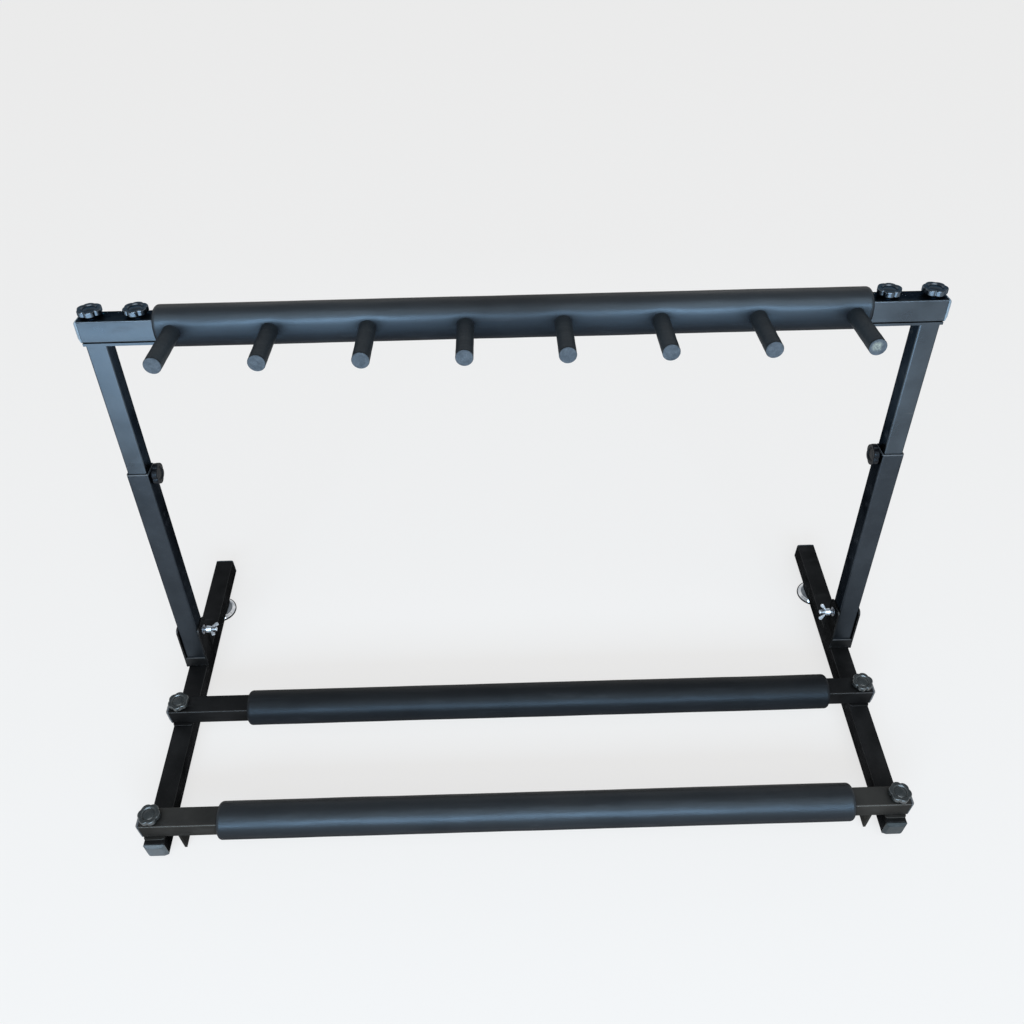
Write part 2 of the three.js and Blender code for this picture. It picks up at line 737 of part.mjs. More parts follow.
function addTopCrossbar() {
  const z = topBarReach;
  piece(uprights, 'top_crossbar', topCrossbar(), steelBlack).position.z = z;
  piece(uprights, 'top_foam_sleeve', topFoamSleeve(), foamBlack).position.z = z;
  addCapPair(uprights, 'top_crossbar', 0, z, barCap());
  const sleeve = pegSleeve();
  pegPlaces.forEach((x, i) => {
    const mesh = piece(uprights, `peg_sleeve_${i + 1}`, sleeve, foamBlack);
    mesh.position.set(x, -halfSide, z);
    mesh.rotation.x = quarterTurn;
  });
  const strip = topStrip();
  const stud = tubeSide + stripThickness + 2 * seatGap + nutHeight + studProud;
  const clamp = knob(stud);
  for (const [name, side] of sides) {
    const mesh = piece(uprights, `${name}_top_strip`, strip, steelBlack);
    mesh.position.z = z;
    mesh.rotation.z = side < 0 ? 2 * quarterTurn : 0;
    for (const [place, x] of [['outer', legX], ['inner', innerKnobX]]) {
      const top = piece(uprights, `top_${name}_${place}_knob`, clamp, plasticBlack);
      top.position.set(side * x, 0, z + halfSide);
    }
  }
}

addLegs();
addFeet();
addLowCrossbars();
addHinges();
addUprights();
addTopCrossbar();

// The origin is on the floor, below the middle of the whole stand
const frontmost = Math.min(legFrontY, frontBarY - foamRadius);
stand.position.y = -(frontmost - legFrontY) / 2;

export default stand;
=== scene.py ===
import json
import math

import bmesh
import bpy
from mathutils import Matrix, Vector

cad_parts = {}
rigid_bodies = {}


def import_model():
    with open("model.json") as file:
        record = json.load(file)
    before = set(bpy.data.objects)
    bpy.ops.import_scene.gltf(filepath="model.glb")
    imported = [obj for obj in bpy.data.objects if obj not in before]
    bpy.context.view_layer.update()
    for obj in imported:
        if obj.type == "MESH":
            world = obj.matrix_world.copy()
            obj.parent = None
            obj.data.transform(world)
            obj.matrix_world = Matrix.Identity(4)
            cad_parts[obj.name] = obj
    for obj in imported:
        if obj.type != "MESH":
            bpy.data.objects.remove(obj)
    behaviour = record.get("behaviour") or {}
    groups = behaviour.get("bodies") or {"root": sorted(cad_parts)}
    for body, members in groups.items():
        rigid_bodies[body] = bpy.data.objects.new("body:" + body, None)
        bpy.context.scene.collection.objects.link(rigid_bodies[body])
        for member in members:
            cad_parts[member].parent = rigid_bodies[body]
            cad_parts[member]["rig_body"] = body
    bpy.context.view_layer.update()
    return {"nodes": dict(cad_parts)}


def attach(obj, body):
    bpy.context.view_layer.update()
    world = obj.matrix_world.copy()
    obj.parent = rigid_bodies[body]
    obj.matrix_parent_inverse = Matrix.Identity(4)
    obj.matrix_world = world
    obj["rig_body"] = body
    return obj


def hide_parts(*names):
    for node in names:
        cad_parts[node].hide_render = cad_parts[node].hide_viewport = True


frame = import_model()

MM = 0.001

# Sizes of the stand, as the solids have them
tube_half = 12.5 * MM
leg_x = 437.5 * MM
front_bar_y = -200 * MM
middle_bar_y = -47 * MM
bar_middle_z = 49.5 * MM
bar_top_z = 62 * MM
top_bar_middle_z = 526 * MM
pivot = Vector((0, 53 * MM, 87 * MM))
lean = math.radians(8)
top_bar_reach = 443.4 * MM
side_knob_reach = 255.6 * MM
inner_knob_x = 390 * MM
seat_gap = 0.3 * MM

sleeve_length = 744 * MM
sleeve_radius = 22 * MM
sleeve_round = 4.5 * MM
sleeve_bore = 12.8 * MM
middle_sleeve_shift = 22 * MM
front_sleeve_shift = 12.5 * MM

peg_count = 8
peg_pitch = 101 * MM
peg_reach = 75 * MM
peg_radius = 9 * MM

foot_y = 154 * MM
rubber_foot_y = -172 * MM
leg_half = 224 * MM
bar_half = 454 * MM
leg_middle_z = 21.5 * MM
bracket_half = 14.9 * MM
web_top_z = 49 * MM

lug_x = 409 * MM
lug_weld_x = 1.7 * MM
lug_weld_z = 36.8 * MM
lug_weld_start = 3 * MM
lug_weld_end = 23 * MM

SIDES = {"left": -1, "right": 1}
quarter_turn = math.pi / 2

# Points closer than these are one point, and faces whose slants differ by less are one face
sliver_gap = 0.0005 * MM
seam_gap = 0.001 * MM
solid_gap = 0.002 * MM
facet_angle = math.radians(0.5)

# Points round a bolt, round a washer, peg or rubber foot, round a chromed foot, a sleeve and a knob
bolt_sides = 40
round_sides = 56
foot_sides = 96
sleeve_sides = 112
knob_sides = 144

# Colours of dust and wear, and the foam's blue gloss tint, a painted reflection colour
coat_dust = (0.2, 0.2, 0.2)
coat_scuff = (0.16, 0.165, 0.17)
coat_scratch = (0.2, 0.21, 0.22)
plastic_dust = (0.3, 0.3, 0.31)
plastic_scratch = (0.22, 0.24, 0.26)
foam_painted_sky_tint = (0.58, 0.79, 1.0)
foam_line = (0.06, 0.065, 0.075)
foam_rub = (0.1, 0.11, 0.12)
foam_pit = (0.008, 0.008, 0.009)
sawn_dark = (0.030, 0.042, 0.055)
sawn_light = (0.082, 0.099, 0.118)
sawn_spot = (0.28, 0.295, 0.255)
sawn_cell = (0.03, 0.034, 0.04)


def at(x, y, z):
    return Matrix.Translation((x, y, z))


# Frames that the pieces are built in
upright_frame = at(*pivot) @ Matrix.Rotation(-lean, 4, "X")
top_bar_frame = upright_frame @ at(0, 0, top_bar_reach)


# Finishes

class Finish:
    """A procedural finish on a piece's own coordinates. Sizes are in metres."""

    def __init__(self, name, **sockets):
        self.material = bpy.data.materials.new(name)
        self.material.use_nodes = True
        self.tree = self.material.node_tree
        self.tree.nodes.clear()
        output = self.tree.nodes.new("ShaderNodeOutputMaterial")
        self.skin = self.tree.nodes.new("ShaderNodeBsdfPrincipled")
        self.tree.links.new(self.skin.outputs[0], output.inputs["Surface"])
        self.where = self.tree.nodes.new("ShaderNodeTexCoord").outputs["Object"]
        for socket, value in sockets.items():
            self.skin.inputs[socket.replace("_", " ")].default_value = value

    def node(self, kind, **settings):
        made = self.tree.nodes.new(kind)
        for key, value in settings.items():
            setattr(made, key, value)
        return made

    def put(self, socket, value):
        if isinstance(value, bpy.types.NodeSocket):
            self.tree.links.new(value, socket)
        else:
            socket.default_value = value

    def place(self, stretch=(1, 1, 1), turn=(0, 0, 0), shift=(0, 0, 0)):
        mapping = self.node("ShaderNodeMapping")
        self.put(mapping.inputs["Vector"], self.where)
        mapping.inputs["Location"].default_value = shift
        mapping.inputs["Rotation"].default_value = [math.radians(a) for a in turn]
        mapping.inputs["Scale"].default_value = [1 / s for s in stretch]
        return mapping.outputs[0]

    def noise(self, size, detail=2.0, roughness=0.5, **placing):
        texture = self.node("ShaderNodeTexNoise")
        self.put(texture.inputs["Vector"], self.place(**placing))
        texture.inputs["Scale"].default_value = 1 / size
        texture.inputs["Detail"].default_value = detail
        texture.inputs["Roughness"].default_value = roughness
        return texture.outputs[0]

    def cells(self, size, **placing):
        texture = self.node("ShaderNodeTexVoronoi")
        self.put(texture.inputs["Vector"], self.place(**placing))
        texture.inputs["Scale"].default_value = 1 / size
        return texture.outputs["Distance"]

    def ranged(self, value, low, high, to_low=0.0, to_high=1.0):
        scale = self.node("ShaderNodeMapRange")
        for name, number in (("Value", value), ("From Min", low), ("From Max", high),
                             ("To Min", to_low), ("To Max", to_high)):
            self.put(scale.inputs[name], number)
        return scale.outputs[0]

    def maths(self, a, b, operation="MULTIPLY"):
        made = self.node("ShaderNodeMath", operation=operation)
        self.put(made.inputs[0], a)
        self.put(made.inputs[1], b)
        return made.outputs[0]

    def mixed(self, share, a, b):
        made = self.node("ShaderNodeMix", data_type="RGBA")
        self.put(made.inputs[0], share)
        for socket, value in ((made.inputs[6], a), (made.inputs[7], b)):
            self.put(socket, value if isinstance(value, bpy.types.NodeSocket) else (*value, 1))
        return made.outputs[2]

    def colour(self, value):
        self.put(self.skin.inputs["Base Color"], value)

    def roughness(self, value):
        self.put(self.skin.inputs["Roughness"], value)

    def gloss(self, value):
        self.put(self.skin.inputs["Specular IOR Level"], value)

    def bumps(self, *layers):
        """Each layer is (height, depth in metres)."""
        normal = None
        for height, depth in layers:
            bump = self.node("ShaderNodeBump")
            self.put(bump.inputs["Height"], height)
            bump.inputs["Distance"].default_value = depth
            if normal is not None:
                self.put(bump.inputs["Normal"], normal)
            normal = bump.outputs[0]
        self.put(self.skin.inputs["Normal"], normal)


def painted_steel(name, dark, light, edge, roughness, scuff_turn):
    """Powder coat, whose gloss stays low at a slant: orange peel, dust, faint clouds and dry scuffs."""
    dust_share = 0.18
    scuff_share = 0.14
    scratch_share = 0.25
    made = Finish(name, Metallic=1.0, Specular_Tint=(edge, edge, edge, 1))
    clouds = made.noise(45 * MM, detail=3)
    dust = made.noise(1.1 * MM, detail=1, shift=(0.3, 0.1, 0.7))
    scuffs = made.noise(16 * MM, detail=5, roughness=0.62, stretch=(3.2, 1, 1), turn=scuff_turn)
    scratches = made.noise(2.4 * MM, detail=2, stretch=(26, 1, 1), turn=(12, 31, 24))
    orange_peel = made.noise(7 * MM, detail=1)
    grain = made.noise(0.95 * MM, detail=2)
    worn = made.maths(made.ranged(scuffs, 0.58, 0.74), made.ranged(dust, 0.3, 0.7, 0.4, 1))
    scratched = made.maths(made.ranged(scratches, 0.7, 0.76), made.ranged(clouds, 0.45, 0.6))
    body = made.mixed(made.ranged(clouds, 0.35, 0.65), dark, light)
    dusty = made.mixed(made.maths(made.ranged(dust, 0.66, 0.76), dust_share), body, coat_dust)
    scuffed = made.mixed(made.maths(worn, scuff_share), dusty, coat_scuff)
    made.colour(made.mixed(made.maths(scratched, scratch_share), scuffed, coat_scratch))
    rubbed = made.maths(clouds, worn, "ADD")
    made.roughness(made.ranged(rubbed, 0.3, 1.2, roughness - 0.05, roughness + 0.16))
    made.bumps((orange_peel, 0.05 * MM), (grain, 0.022 * MM))
    return made.material


def moulded_plastic(name, dark, light, shine, roughness, grain, unevenness=0.05 * MM, dust_share=0.2,
                    tint=(1.0, 1.0, 1.0), slant_share=1.0, polish=0.0):
    """Moulded plastic: fine spark-eroded grain, handling wear and a little dust.

    Its gloss falls to slant_share at a low slant. With full polish it is all gloss, in its own colour
    seen straight on and in the tint at its edge."""
    made = Finish(name, Specular_IOR_Level=shine, Specular_Tint=(*tint, 1), Metallic=polish)
    if slant_share < 1:
        slant = made.node("ShaderNodeLayerWeight").outputs["Facing"]
        made.gloss(made.ranged(slant, 0.45, 0.68, shine, slant_share * shine))
    clouds = made.noise(9 * MM, detail=4, roughness=0.6)
    dust = made.noise(0.7 * MM, detail=1, shift=(0.2, 0.5, 0.1))
    scratches = made.noise(1.2 * MM, detail=2, stretch=(14, 1, 2), turn=(20, 40, 33))
    body = made.mixed(made.ranged(clouds, 0.35, 0.7), dark, light)
    dusty = made.mixed(made.maths(made.ranged(dust, 0.66, 0.76), dust_share), body, plastic_dust)
    scratched = made.maths(made.ranged(scratches, 0.68, 0.75), dust_share)
    made.colour(made.mixed(scratched, dusty, plastic_scratch))
    made.roughness(made.ranged(clouds, 0.3, 0.7, roughness - 0.06, roughness + 0.1))
    made.bumps((clouds, unevenness), (made.noise(0.5 * MM, detail=1), grain))
    return made.material


def foam_skin(name, dark, light, roughness, gloss, middle=None, top_grey=0.034, shaded_middle_gloss=1.0):
    """Closed-cell foam: a smooth skin, dull at a slant, with fine cells, clouds and long rubbed streaks.

    A sleeve whose middle height is given is lighter grey along its top, and its gloss is cut underneath, a
    painted shade.
    Along its length, its gloss near the stand's middle is cut to the given share of the gloss near its ends,
    a painted shade."""
    slant_gloss = 0.1
    # Share of the gloss kept underneath: painted shade
    gloss_underneath = 0.25
    line_share = 0.1
    rub_share = 0.08
    pit_share = 0.5
    # The blue tint on the foam's gloss is a painted reflection colour
    made = Finish(name, Specular_IOR_Level=gloss, Specular_Tint=(*foam_painted_sky_tint, 1))
    slant = made.node("ShaderNodeLayerWeight").outputs["Facing"]
    shine = made.ranged(slant, 0.1, 0.7, gloss, slant_gloss * gloss)
    clouds = made.noise(70 * MM, detail=4, roughness=0.55)
    streaks = made.noise(5 * MM, detail=4, roughness=0.6, stretch=(18, 1, 1), turn=(0, 2, 0))
    rubbed = made.noise(14 * MM, detail=4, roughness=0.6, stretch=(4, 1, 1), turn=(0, 18, 8))
    hollows = made.noise(22 * MM, detail=3, stretch=(2, 1, 1))
    cells = made.cells(0.75 * MM)
    pits = made.noise(0.5 * MM, detail=2)
    body = made.mixed(made.ranged(clouds, 0.3, 0.7), dark, light)
    if middle is not None:
        split = made.node("ShaderNodeSeparateXYZ")
        made.put(split.inputs[0], made.where)
        aside = made.maths(split.outputs[0], 0, "ABSOLUTE")
        upper = made.ranged(split.outputs[2], middle - 2 * MM, middle + 14 * MM)
        topmost = made.ranged(split.outputs[2], middle + 6 * MM, middle + 21 * MM)
        # Gloss cut underneath and near the stand's middle: painted shade on the sleeve's reflection
        shine = made.maths(shine, made.ranged(upper, 0, 1, gloss_underneath, 1))
        shine = made.maths(shine, made.ranged(aside, 30 * MM, 190 * MM, shaded_middle_gloss, 1))
        # Lighter grey along the top, set by height
        dust = made.maths(topmost, made.ranged(clouds, 0.2, 0.8, 0.4, 0.9))
        body = made.mixed(dust, body, (top_grey, top_grey, top_grey))
    made.gloss(shine)
    lined = made.mixed(made.maths(made.ranged(streaks, 0.55, 0.8), line_share), body, foam_line)
    rubs = made.mixed(made.maths(made.ranged(rubbed, 0.62, 0.78), rub_share), lined, foam_rub)
    made.colour(made.mixed(made.maths(made.ranged(pits, 0.62, 0.75), pit_share), rubs, foam_pit))
    made.roughness(made.ranged(streaks, 0.3, 0.7, roughness - 0.08, roughness + 0.05))
    made.bumps((hollows, 0.7 * MM), (streaks, 0.12 * MM), (cells, 0.07 * MM), (pits, 0.05 * MM))
    return made.material


def cut_foam(name, worn_spot):
    """The sawn end of a foam peg: open cells, rubbed grey by use, and palest around one spot."""
    made = Finish(name, Specular_IOR_Level=0.2, Sheen_Weight=0.25, Sheen_Roughness=0.5)
    cells = made.cells(0.8 * MM)
    wear = made.noise(5 * MM, detail=5, roughness=0.65)
    away = made.node("ShaderNodeVectorMath", operation="DISTANCE")
    made.put(away.inputs[0], made.where)
    away.inputs[1].default_value = worn_spot
    near = made.ranged(away.outputs["Value"], 2.2 * MM, 6.5 * MM, 1, 0)
    worn = made.mixed(made.ranged(wear, 0.32, 0.68), sawn_dark, sawn_light)
    rubbed = made.mixed(made.maths(near, made.ranged(wear, 0.42, 0.6)), worn, sawn_spot)
    made.colour(made.mixed(made.ranged(cells, 0.25, 0.6, 0, 0.4), rubbed, sawn_cell))
    made.roughness(made.ranged(wear, 0.3, 0.7, 0.72, 0.9))
    made.bumps((wear, 0.4 * MM), (cells, 0.25 * MM))
    return made.material


def plated(name, base, shade, roughness, cloud_size, haze):
    """Plated steel: clouds between a base and a shade colour (on chrome, a painted reflection), fine handling
    marks and a dull film in patches.
    """
    made = Finish(name, Metallic=1.0)
    clouds = made.noise(cloud_size, detail=4, roughness=0.6)
    marks = made.noise(0.6 * MM, detail=2, stretch=(12, 1, 1), turn=(15, 25, 50))
    body = made.mixed(made.ranged(clouds, 0.3, 0.7), base, shade)
    marked = tuple(0.6 * channel for channel in base)
    made.colour(made.mixed(made.ranged(marks, 0.62, 0.75, 0, 0.35), body, marked))
    made.roughness(made.ranged(made.maths(clouds, marks), 0.15, 0.4, roughness, roughness + haze))
    made.bumps((clouds, 0.03 * MM), (marks, 0.006 * MM))
    return made.material


# One powder coat in lit and shaded copies: lighter and bluer on the uprights and top bar, a painted
# reflection; on the outer uprights darker than on the inner ones, painted shade
low_steel = painted_steel("powder coat, legs and middle bar", (0.032, 0.033, 0.034), (0.047, 0.048, 0.050),
                          edge=0.02, roughness=0.46, scuff_turn=(0, 20, 35))
# The front bar's coat is lighter and browner than on the legs and middle bar
front_steel = painted_steel("powder coat, front bar, lighter", (0.063, 0.063, 0.061), (0.088, 0.087, 0.083),
                            edge=0.15, roughness=0.5, scuff_turn=(0, 20, 35))
high_steel = painted_steel("satin powder coat, uprights and top bar", (0.065, 0.080, 0.096),
                           (0.083, 0.101, 0.120), edge=0.0, roughness=0.31, scuff_turn=(20, 55, 10))
outer_steel = painted_steel("powder coat, outer uprights, darkened for painted shade", (0.042, 0.050, 0.060), (0.055, 0.065, 0.077),
                            edge=0.0, roughness=0.38, scuff_turn=(70, 35, 10))
# A lighter coat for rounded edges and ledges: partly wear and dust, partly a painted highlight
rubbed_and_lit_coat = moulded_plastic("powder coat, rubbed and dusty edges", (0.07, 0.074, 0.08), (0.1, 0.105, 0.112),
                              shine=0.6, roughness=0.5, grain=0.02 * MM)

cap_surface = {"roughness": 0.42, "grain": 0.02 * MM}
cap_plastic = moulded_plastic("cap plastic", (0.043, 0.050, 0.058), (0.069, 0.080, 0.092), shine=0.52,
                              **cap_surface)
leg_cap_plastic = moulded_plastic("leg cap plastic", (0.035, 0.046, 0.053), (0.058, 0.072, 0.082), shine=0.52,
                                  **cap_surface)
# A darker copy of the leg cap plastic: painted shade
shaded_leg_cap_plastic = moulded_plastic("leg cap plastic, duller", (0.014, 0.020, 0.022), (0.023, 0.030, 0.033),
                                   shine=0.26, roughness=0.45, grain=0.02 * MM)
# A lighter, bluer copy of the cap plastic: a painted highlight
top_cap_plastic = moulded_plastic("top bar cap plastic", (0.13, 0.175, 0.215), (0.18, 0.23, 0.275), shine=0.6,
                                  **cap_surface)

knob_surface = {"grain": 0.004 * MM, "unevenness": 0.012 * MM, "dust_share": 0.02}
# One knob plastic in lit and shaded copies, with blue gloss tints as a painted reflection colour: the top
# knobs' lighter and bluer, a painted reflection; the side knobs' darker, painted shade
low_knob_plastic = moulded_plastic("low knob plastic", (0.018, 0.020, 0.020), (0.026, 0.028, 0.028),
                                   shine=1.0, roughness=0.25, tint=(0.88, 0.96, 1.0), slant_share=0.25,
                                   **knob_surface)
top_knob_plastic = moulded_plastic("top knob plastic, lightened for painted reflection", (0.084, 0.104, 0.126), (0.112, 0.136, 0.162),
                                   shine=0.5, roughness=0.26, tint=(0.25, 0.27, 0.30), polish=1.0,
                                   **knob_surface)
side_knob_plastic = moulded_plastic("side knob plastic", (0.003, 0.003, 0.004), (0.005, 0.0055, 0.007),
                                    shine=0.22, roughness=0.3, tint=(0.7, 0.85, 1.0), slant_share=0.1,
                                    **knob_surface)
foot_rubber = moulded_plastic("foot rubber", (0.012, 0.012, 0.012), (0.022, 0.021, 0.020), shine=0.3,
                              roughness=0.7, grain=0.03 * MM)

# One foam in three copies, with colour and gloss set per sleeve: painted light and shade
top_foam = foam_skin("top sleeve foam", (0.0065, 0.0075, 0.0095), (0.010, 0.0115, 0.014), roughness=0.43,
                     gloss=0.84, middle=top_bar_middle_z, top_grey=0.026, shaded_middle_gloss=0.42)
middle_foam = foam_skin("middle sleeve foam", (0.006, 0.007, 0.0085), (0.0095, 0.011, 0.0135), roughness=0.40,
                        gloss=0.185, middle=bar_middle_z, top_grey=0.014)
front_foam = foam_skin("front sleeve foam", (0.0075, 0.0085, 0.0105), (0.0115, 0.013, 0.0155), roughness=0.40,
                       gloss=0.45, middle=bar_middle_z, top_grey=0.022)
peg_foam = foam_skin("peg foam", (0.0145, 0.018, 0.0215), (0.024, 0.029, 0.033), roughness=0.55, gloss=0.44)
last_peg_x = (peg_count - 1) / 2 * peg_pitch
peg_end = cut_foam("peg foam, cut end",
                   top_bar_frame @ Vector((last_peg_x - 1 * MM, -tube_half - peg_reach, 1 * MM)))

zinc = plated("zinc plate", (0.70, 0.77, 0.84), (0.50, 0.57, 0.64), roughness=0.36, cloud_size=3 * MM,
              haze=0.18)
# A darker copy of the zinc plate for the thread and washer: painted shade
shaded_zinc = plated("zinc plate, darkened for painted shade", (0.20, 0.22, 0.25), (0.11, 0.12, 0.14), roughness=0.38,
                   cloud_size=3 * MM, haze=0.2)
# The chrome's dark clouds are a painted reflection of dark surroundings
chrome = plated("chrome", (0.80, 0.82, 0.84), (0.30, 0.33, 0.37), roughness=0.06, cloud_size=11 * MM,
                haze=0.1)


# Building and placing pieces

def new_object(name, data):
    made = bpy.data.objects.new(name, data)
    bpy.context.scene.collection.objects.link(made)
    return made


def mesh_object(name, points, faces, *finishes):
    mesh = bpy.data.meshes.new(name)
    mesh.from_pydata([tuple(p) for p in points], [], faces)
    for finish in finishes:
        mesh.materials.append(finish)
    mesh.update()
    return new_object(name, mesh)


def settle(piece):
    """Applies a piece's modifiers and leaves a plain mesh."""
    bpy.context.view_layer.update()
    graph = bpy.context.evaluated_depsgraph_get()
    plain = bpy.data.meshes.new_from_object(piece.evaluated_get(graph), depsgraph=graph)
    piece.modifiers.clear()
    draft = piece.data
    piece.data = plain
    bpy.data.meshes.remove(draft)
    return piece


def smooth(piece, edge_width=0.0, steps=2, angle=40, edge_finish=-1):
    """Rounds the sharp edges and shades the rest as one surface, with flat faces kept flat."""
    piece.data.shade_smooth()
    if edge_width:
        bevel = piece.modifiers.new("edges", "BEVEL")
        bevel.width = edge_width
        bevel.segments = steps
        bevel.limit_method = "ANGLE"
        bevel.angle_limit = math.radians(angle)
        bevel.use_clamp_overlap = True
        bevel.material = edge_finish
        piece.modifiers.new("slivers", "WELD").merge_threshold = sliver_gap
    normals = piece.modifiers.new("normals", "WEIGHTED_NORMAL")
    normals.mode = "FACE_AREA"
    normals.weight = 50
    return settle(piece)


def fit(piece, node, place=None):
    """Puts a finished piece in place, and has it stand for a node and move with its body."""
    if place is not None:
        piece.data.transform(place)
    nodes = [node] if isinstance(node, str) else list(node)
    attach(piece, frame["nodes"][nodes[0]]["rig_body"])
    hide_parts(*nodes)
    return piece


def edged(node, word, finish, edge_width, steps=2, angle=40, rubbed=None):
    """A copy of a solid with its facets merged, its edges rounded and its flats kept flat.

    Its rounded edges may have a finish of their own."""
    shape = bmesh.new()
    shape.from_mesh(frame["nodes"][node].data)
    bmesh.ops.remove_doubles(shape, verts=shape.verts, dist=solid_gap)
    bmesh.ops.dissolve_limit(shape, angle_limit=facet_angle, verts=shape.verts, edges=shape.edges)
    mesh = bpy.data.meshes.new(f"{node}_{word}")
    shape.to_mesh(mesh)
    shape.free()
    mesh.materials.append(finish)
    if rubbed:
        mesh.materials.append(rubbed)
    piece = smooth(new_object(f"{node}_{word}", mesh), edge_width, steps, angle, 1 if rubbed else -1)
    return fit(piece, node)


def skinned(name, rings, *finishes, closed=False, finish_of_ring=None):
    """A skin over rings of points, each with as many points as the next. Open ends get a face."""
    count = len(rings[0])
    points = [p for ring in rings for p in ring]
    faces = []
    total = len(rings)
    spans = total if closed else total - 1
    for k in range(spans):
        low, high = k * count, ((k + 1) % total) * count
        for i in range(count):
            j = (i + 1) % count
            faces.append((low + i, low + j, high + j, high + i))
    if not closed:
        faces.append(tuple(reversed(range(count))))
        faces.append(tuple((total - 1) * count + i for i in range(count)))
    made = mesh_object(name, points, faces, *finishes)
    if finish_of_ring:
        for i in range(spans * count):
            made.data.polygons[i].material_index = finish_of_ring(i // count)
    shape = bmesh.new()
    shape.from_mesh(made.data)
    bmesh.ops.remove_doubles(shape, verts=shape.verts, dist=seam_gap)
    bmesh.ops.recalc_face_normals(shape, faces=shape.faces)
    shape.to_mesh(made.data)
    shape.free()
    return made


def in_mm(*pairs):
    return [(a * MM, b * MM) for a, b in pairs]


def round_ring(radius, height, sides):
    turn = 2 * math.pi / sides
    return [(radius * math.cos(i * turn), radius * math.sin(i * turn), height) for i in range(sides)]


def arc(centre, radius, start, end, steps):
    """Points of an arc in the plane of a profile, angles in degrees."""
    return [
        (centre[0] + radius * math.cos(math.radians(start + (end - start) * i / steps)),
         centre[1] + radius * math.sin(math.radians(start + (end - start) * i / steps)))
        for i in range(steps + 1)
    ]


def square_ring(side, corner, height, steps=6):
    """A square with rounded corners about Z, at one height."""
    reach = side / 2 - corner
    ring = []
    for quarter in range(4):
        middle = math.radians(45 + 90 * quarter)
        cx, cy = math.copysign(reach, math.cos(middle)), math.copysign(reach, math.sin(middle))
        for step in range(steps + 1):
            a = math.radians(90 * (quarter + step / steps))
            ring.append((cx + corner * math.cos(a), cy + corner * math.sin(a), height))
    return ring


def merged(name, pieces):
    """Several draft pieces as one mesh, with the first one's finishes."""
    shape = bmesh.new()
    for piece in pieces:
        shape.from_mesh(piece.data)
    mesh = bpy.data.meshes.new(name)
    shape.to_mesh(mesh)
    shape.free()
    for finish in pieces[0].data.materials:
        mesh.materials.append(finish)
    for piece in pieces:
        draft = piece.data
        bpy.data.objects.remove(piece)
        bpy.data.meshes.remove(draft)
    return new_object(name, mesh)


# Rules for what repeats or follows a path, as geometry node trees

class Rule:
    """A geometry node tree with named inputs."""

    def __init__(self, name, **inputs):
        self.tree = bpy.data.node_groups.new(name, "GeometryNodeTree")
        kinds = {int: "NodeSocketInt", float: "NodeSocketFloat", bpy.types.Material: "NodeSocketMaterial"}
        for way in ("OUTPUT", "INPUT"):
            self.tree.interface.new_socket("Geometry", in_out=way, socket_type="NodeSocketGeometry")
        self.identifiers = {}
        for key, kind in inputs.items():
            socket = self.tree.interface.new_socket(key.replace("_", " "), in_out="INPUT",
                                                    socket_type=kinds[kind])
            self.identifiers[key] = socket.identifier
        self.source = self.tree.nodes.new("NodeGroupInput")
        self.result = self.tree.nodes.new("NodeGroupOutput")

    def __getitem__(self, key):
        return self.source.outputs[key.replace("_", " ")]

    def node(self, kind, *values, settings=None, **named):
        made = self.tree.nodes.new(kind)
        for key, value in (settings or {}).items():
            setattr(made, key, value)
        filled = list(zip(made.inputs, values))
        filled += [(made.inputs[key.replace("_", " ")], value) for key, value in named.items()]
        for socket, value in filled:
            if isinstance(value, bpy.types.NodeSocket):
                self.tree.links.new(value, socket)
            else:
                socket.default_value = value
        return made

    def maths(self, operation, *values):
        return self.node("ShaderNodeMath", *values, settings={"operation": operation}).outputs[0]

    def times(self, a, b):
        return self.maths("MULTIPLY", a, b)

    def bell(self, value):
        """1 where the value is 0, falling off to both sides."""
        return self.maths("EXPONENT", self.times(self.times(value, value), -1.0))

    def end(self, geometry):
        self.tree.links.new(geometry, self.result.inputs[0])

    def end_finished(self, geometry):
        real = self.node("GeometryNodeRealizeInstances", geometry)
        skin = self.node("GeometryNodeSetMaterial", real.outputs[0], Material=self["Finish"])
        self.end(skin.outputs[0])

    def shape(self, piece, **values):
        modifier = piece.modifiers.new(self.tree.name, "NODES")
        modifier.node_group = self.tree
        for key, value in values.items():
            modifier[self.identifiers[key]] = value
        return settle(piece)


def peg_row_rule():
    """Copies a peg along the bar, each turned at random about its pin."""
    rule = Rule("row of pegs", Pegs=int, Pitch=float, Seed=int, Skin=bpy.types.Material,
                Cut_End=bpy.types.Material)
    half = rule.times(rule.maths("SUBTRACT", rule["Pegs"], 1.0), -0.5)
    start = rule.node("ShaderNodeCombineXYZ", rule.times(half, rule["Pitch"]), 0.0, 0.0)
    step = rule.node("ShaderNodeCombineXYZ", rule["Pitch"], 0.0, 0.0)
    line = rule.node("GeometryNodeMeshLine", Count=rule["Pegs"], Start_Location=start.outputs[0],
                     Offset=step.outputs[0])
    turn = rule.node("FunctionNodeRandomValue", settings={"data_type": "FLOAT_VECTOR"})
    turn.inputs[0].default_value = (0, -math.pi, 0)
    turn.inputs[1].default_value = (0, math.pi, 0)
    rule.tree.links.new(rule["Seed"], turn.inputs["Seed"])
    rotation = rule.node("FunctionNodeEulerToRotation", turn.outputs[0])
    pegs = rule.node("GeometryNodeInstanceOnPoints", Points=line.outputs[0], Instance=rule["Geometry"],
                     Rotation=rotation.outputs[0])
    real = rule.node("GeometryNodeRealizeInstances", pegs.outputs[0])
    skin = rule.node("GeometryNodeSetMaterial", real.outputs[0], Material=rule["Skin"])
    sawn = rule.node("GeometryNodeInputNamedAttribute", "sawn", settings={"data_type": "BOOLEAN"})
    end = rule.node("GeometryNodeSetMaterial", skin.outputs[0], Selection=sawn.outputs[0],
                    Material=rule["Cut_End"])
    rule.end(end.outputs[0])
    return rule


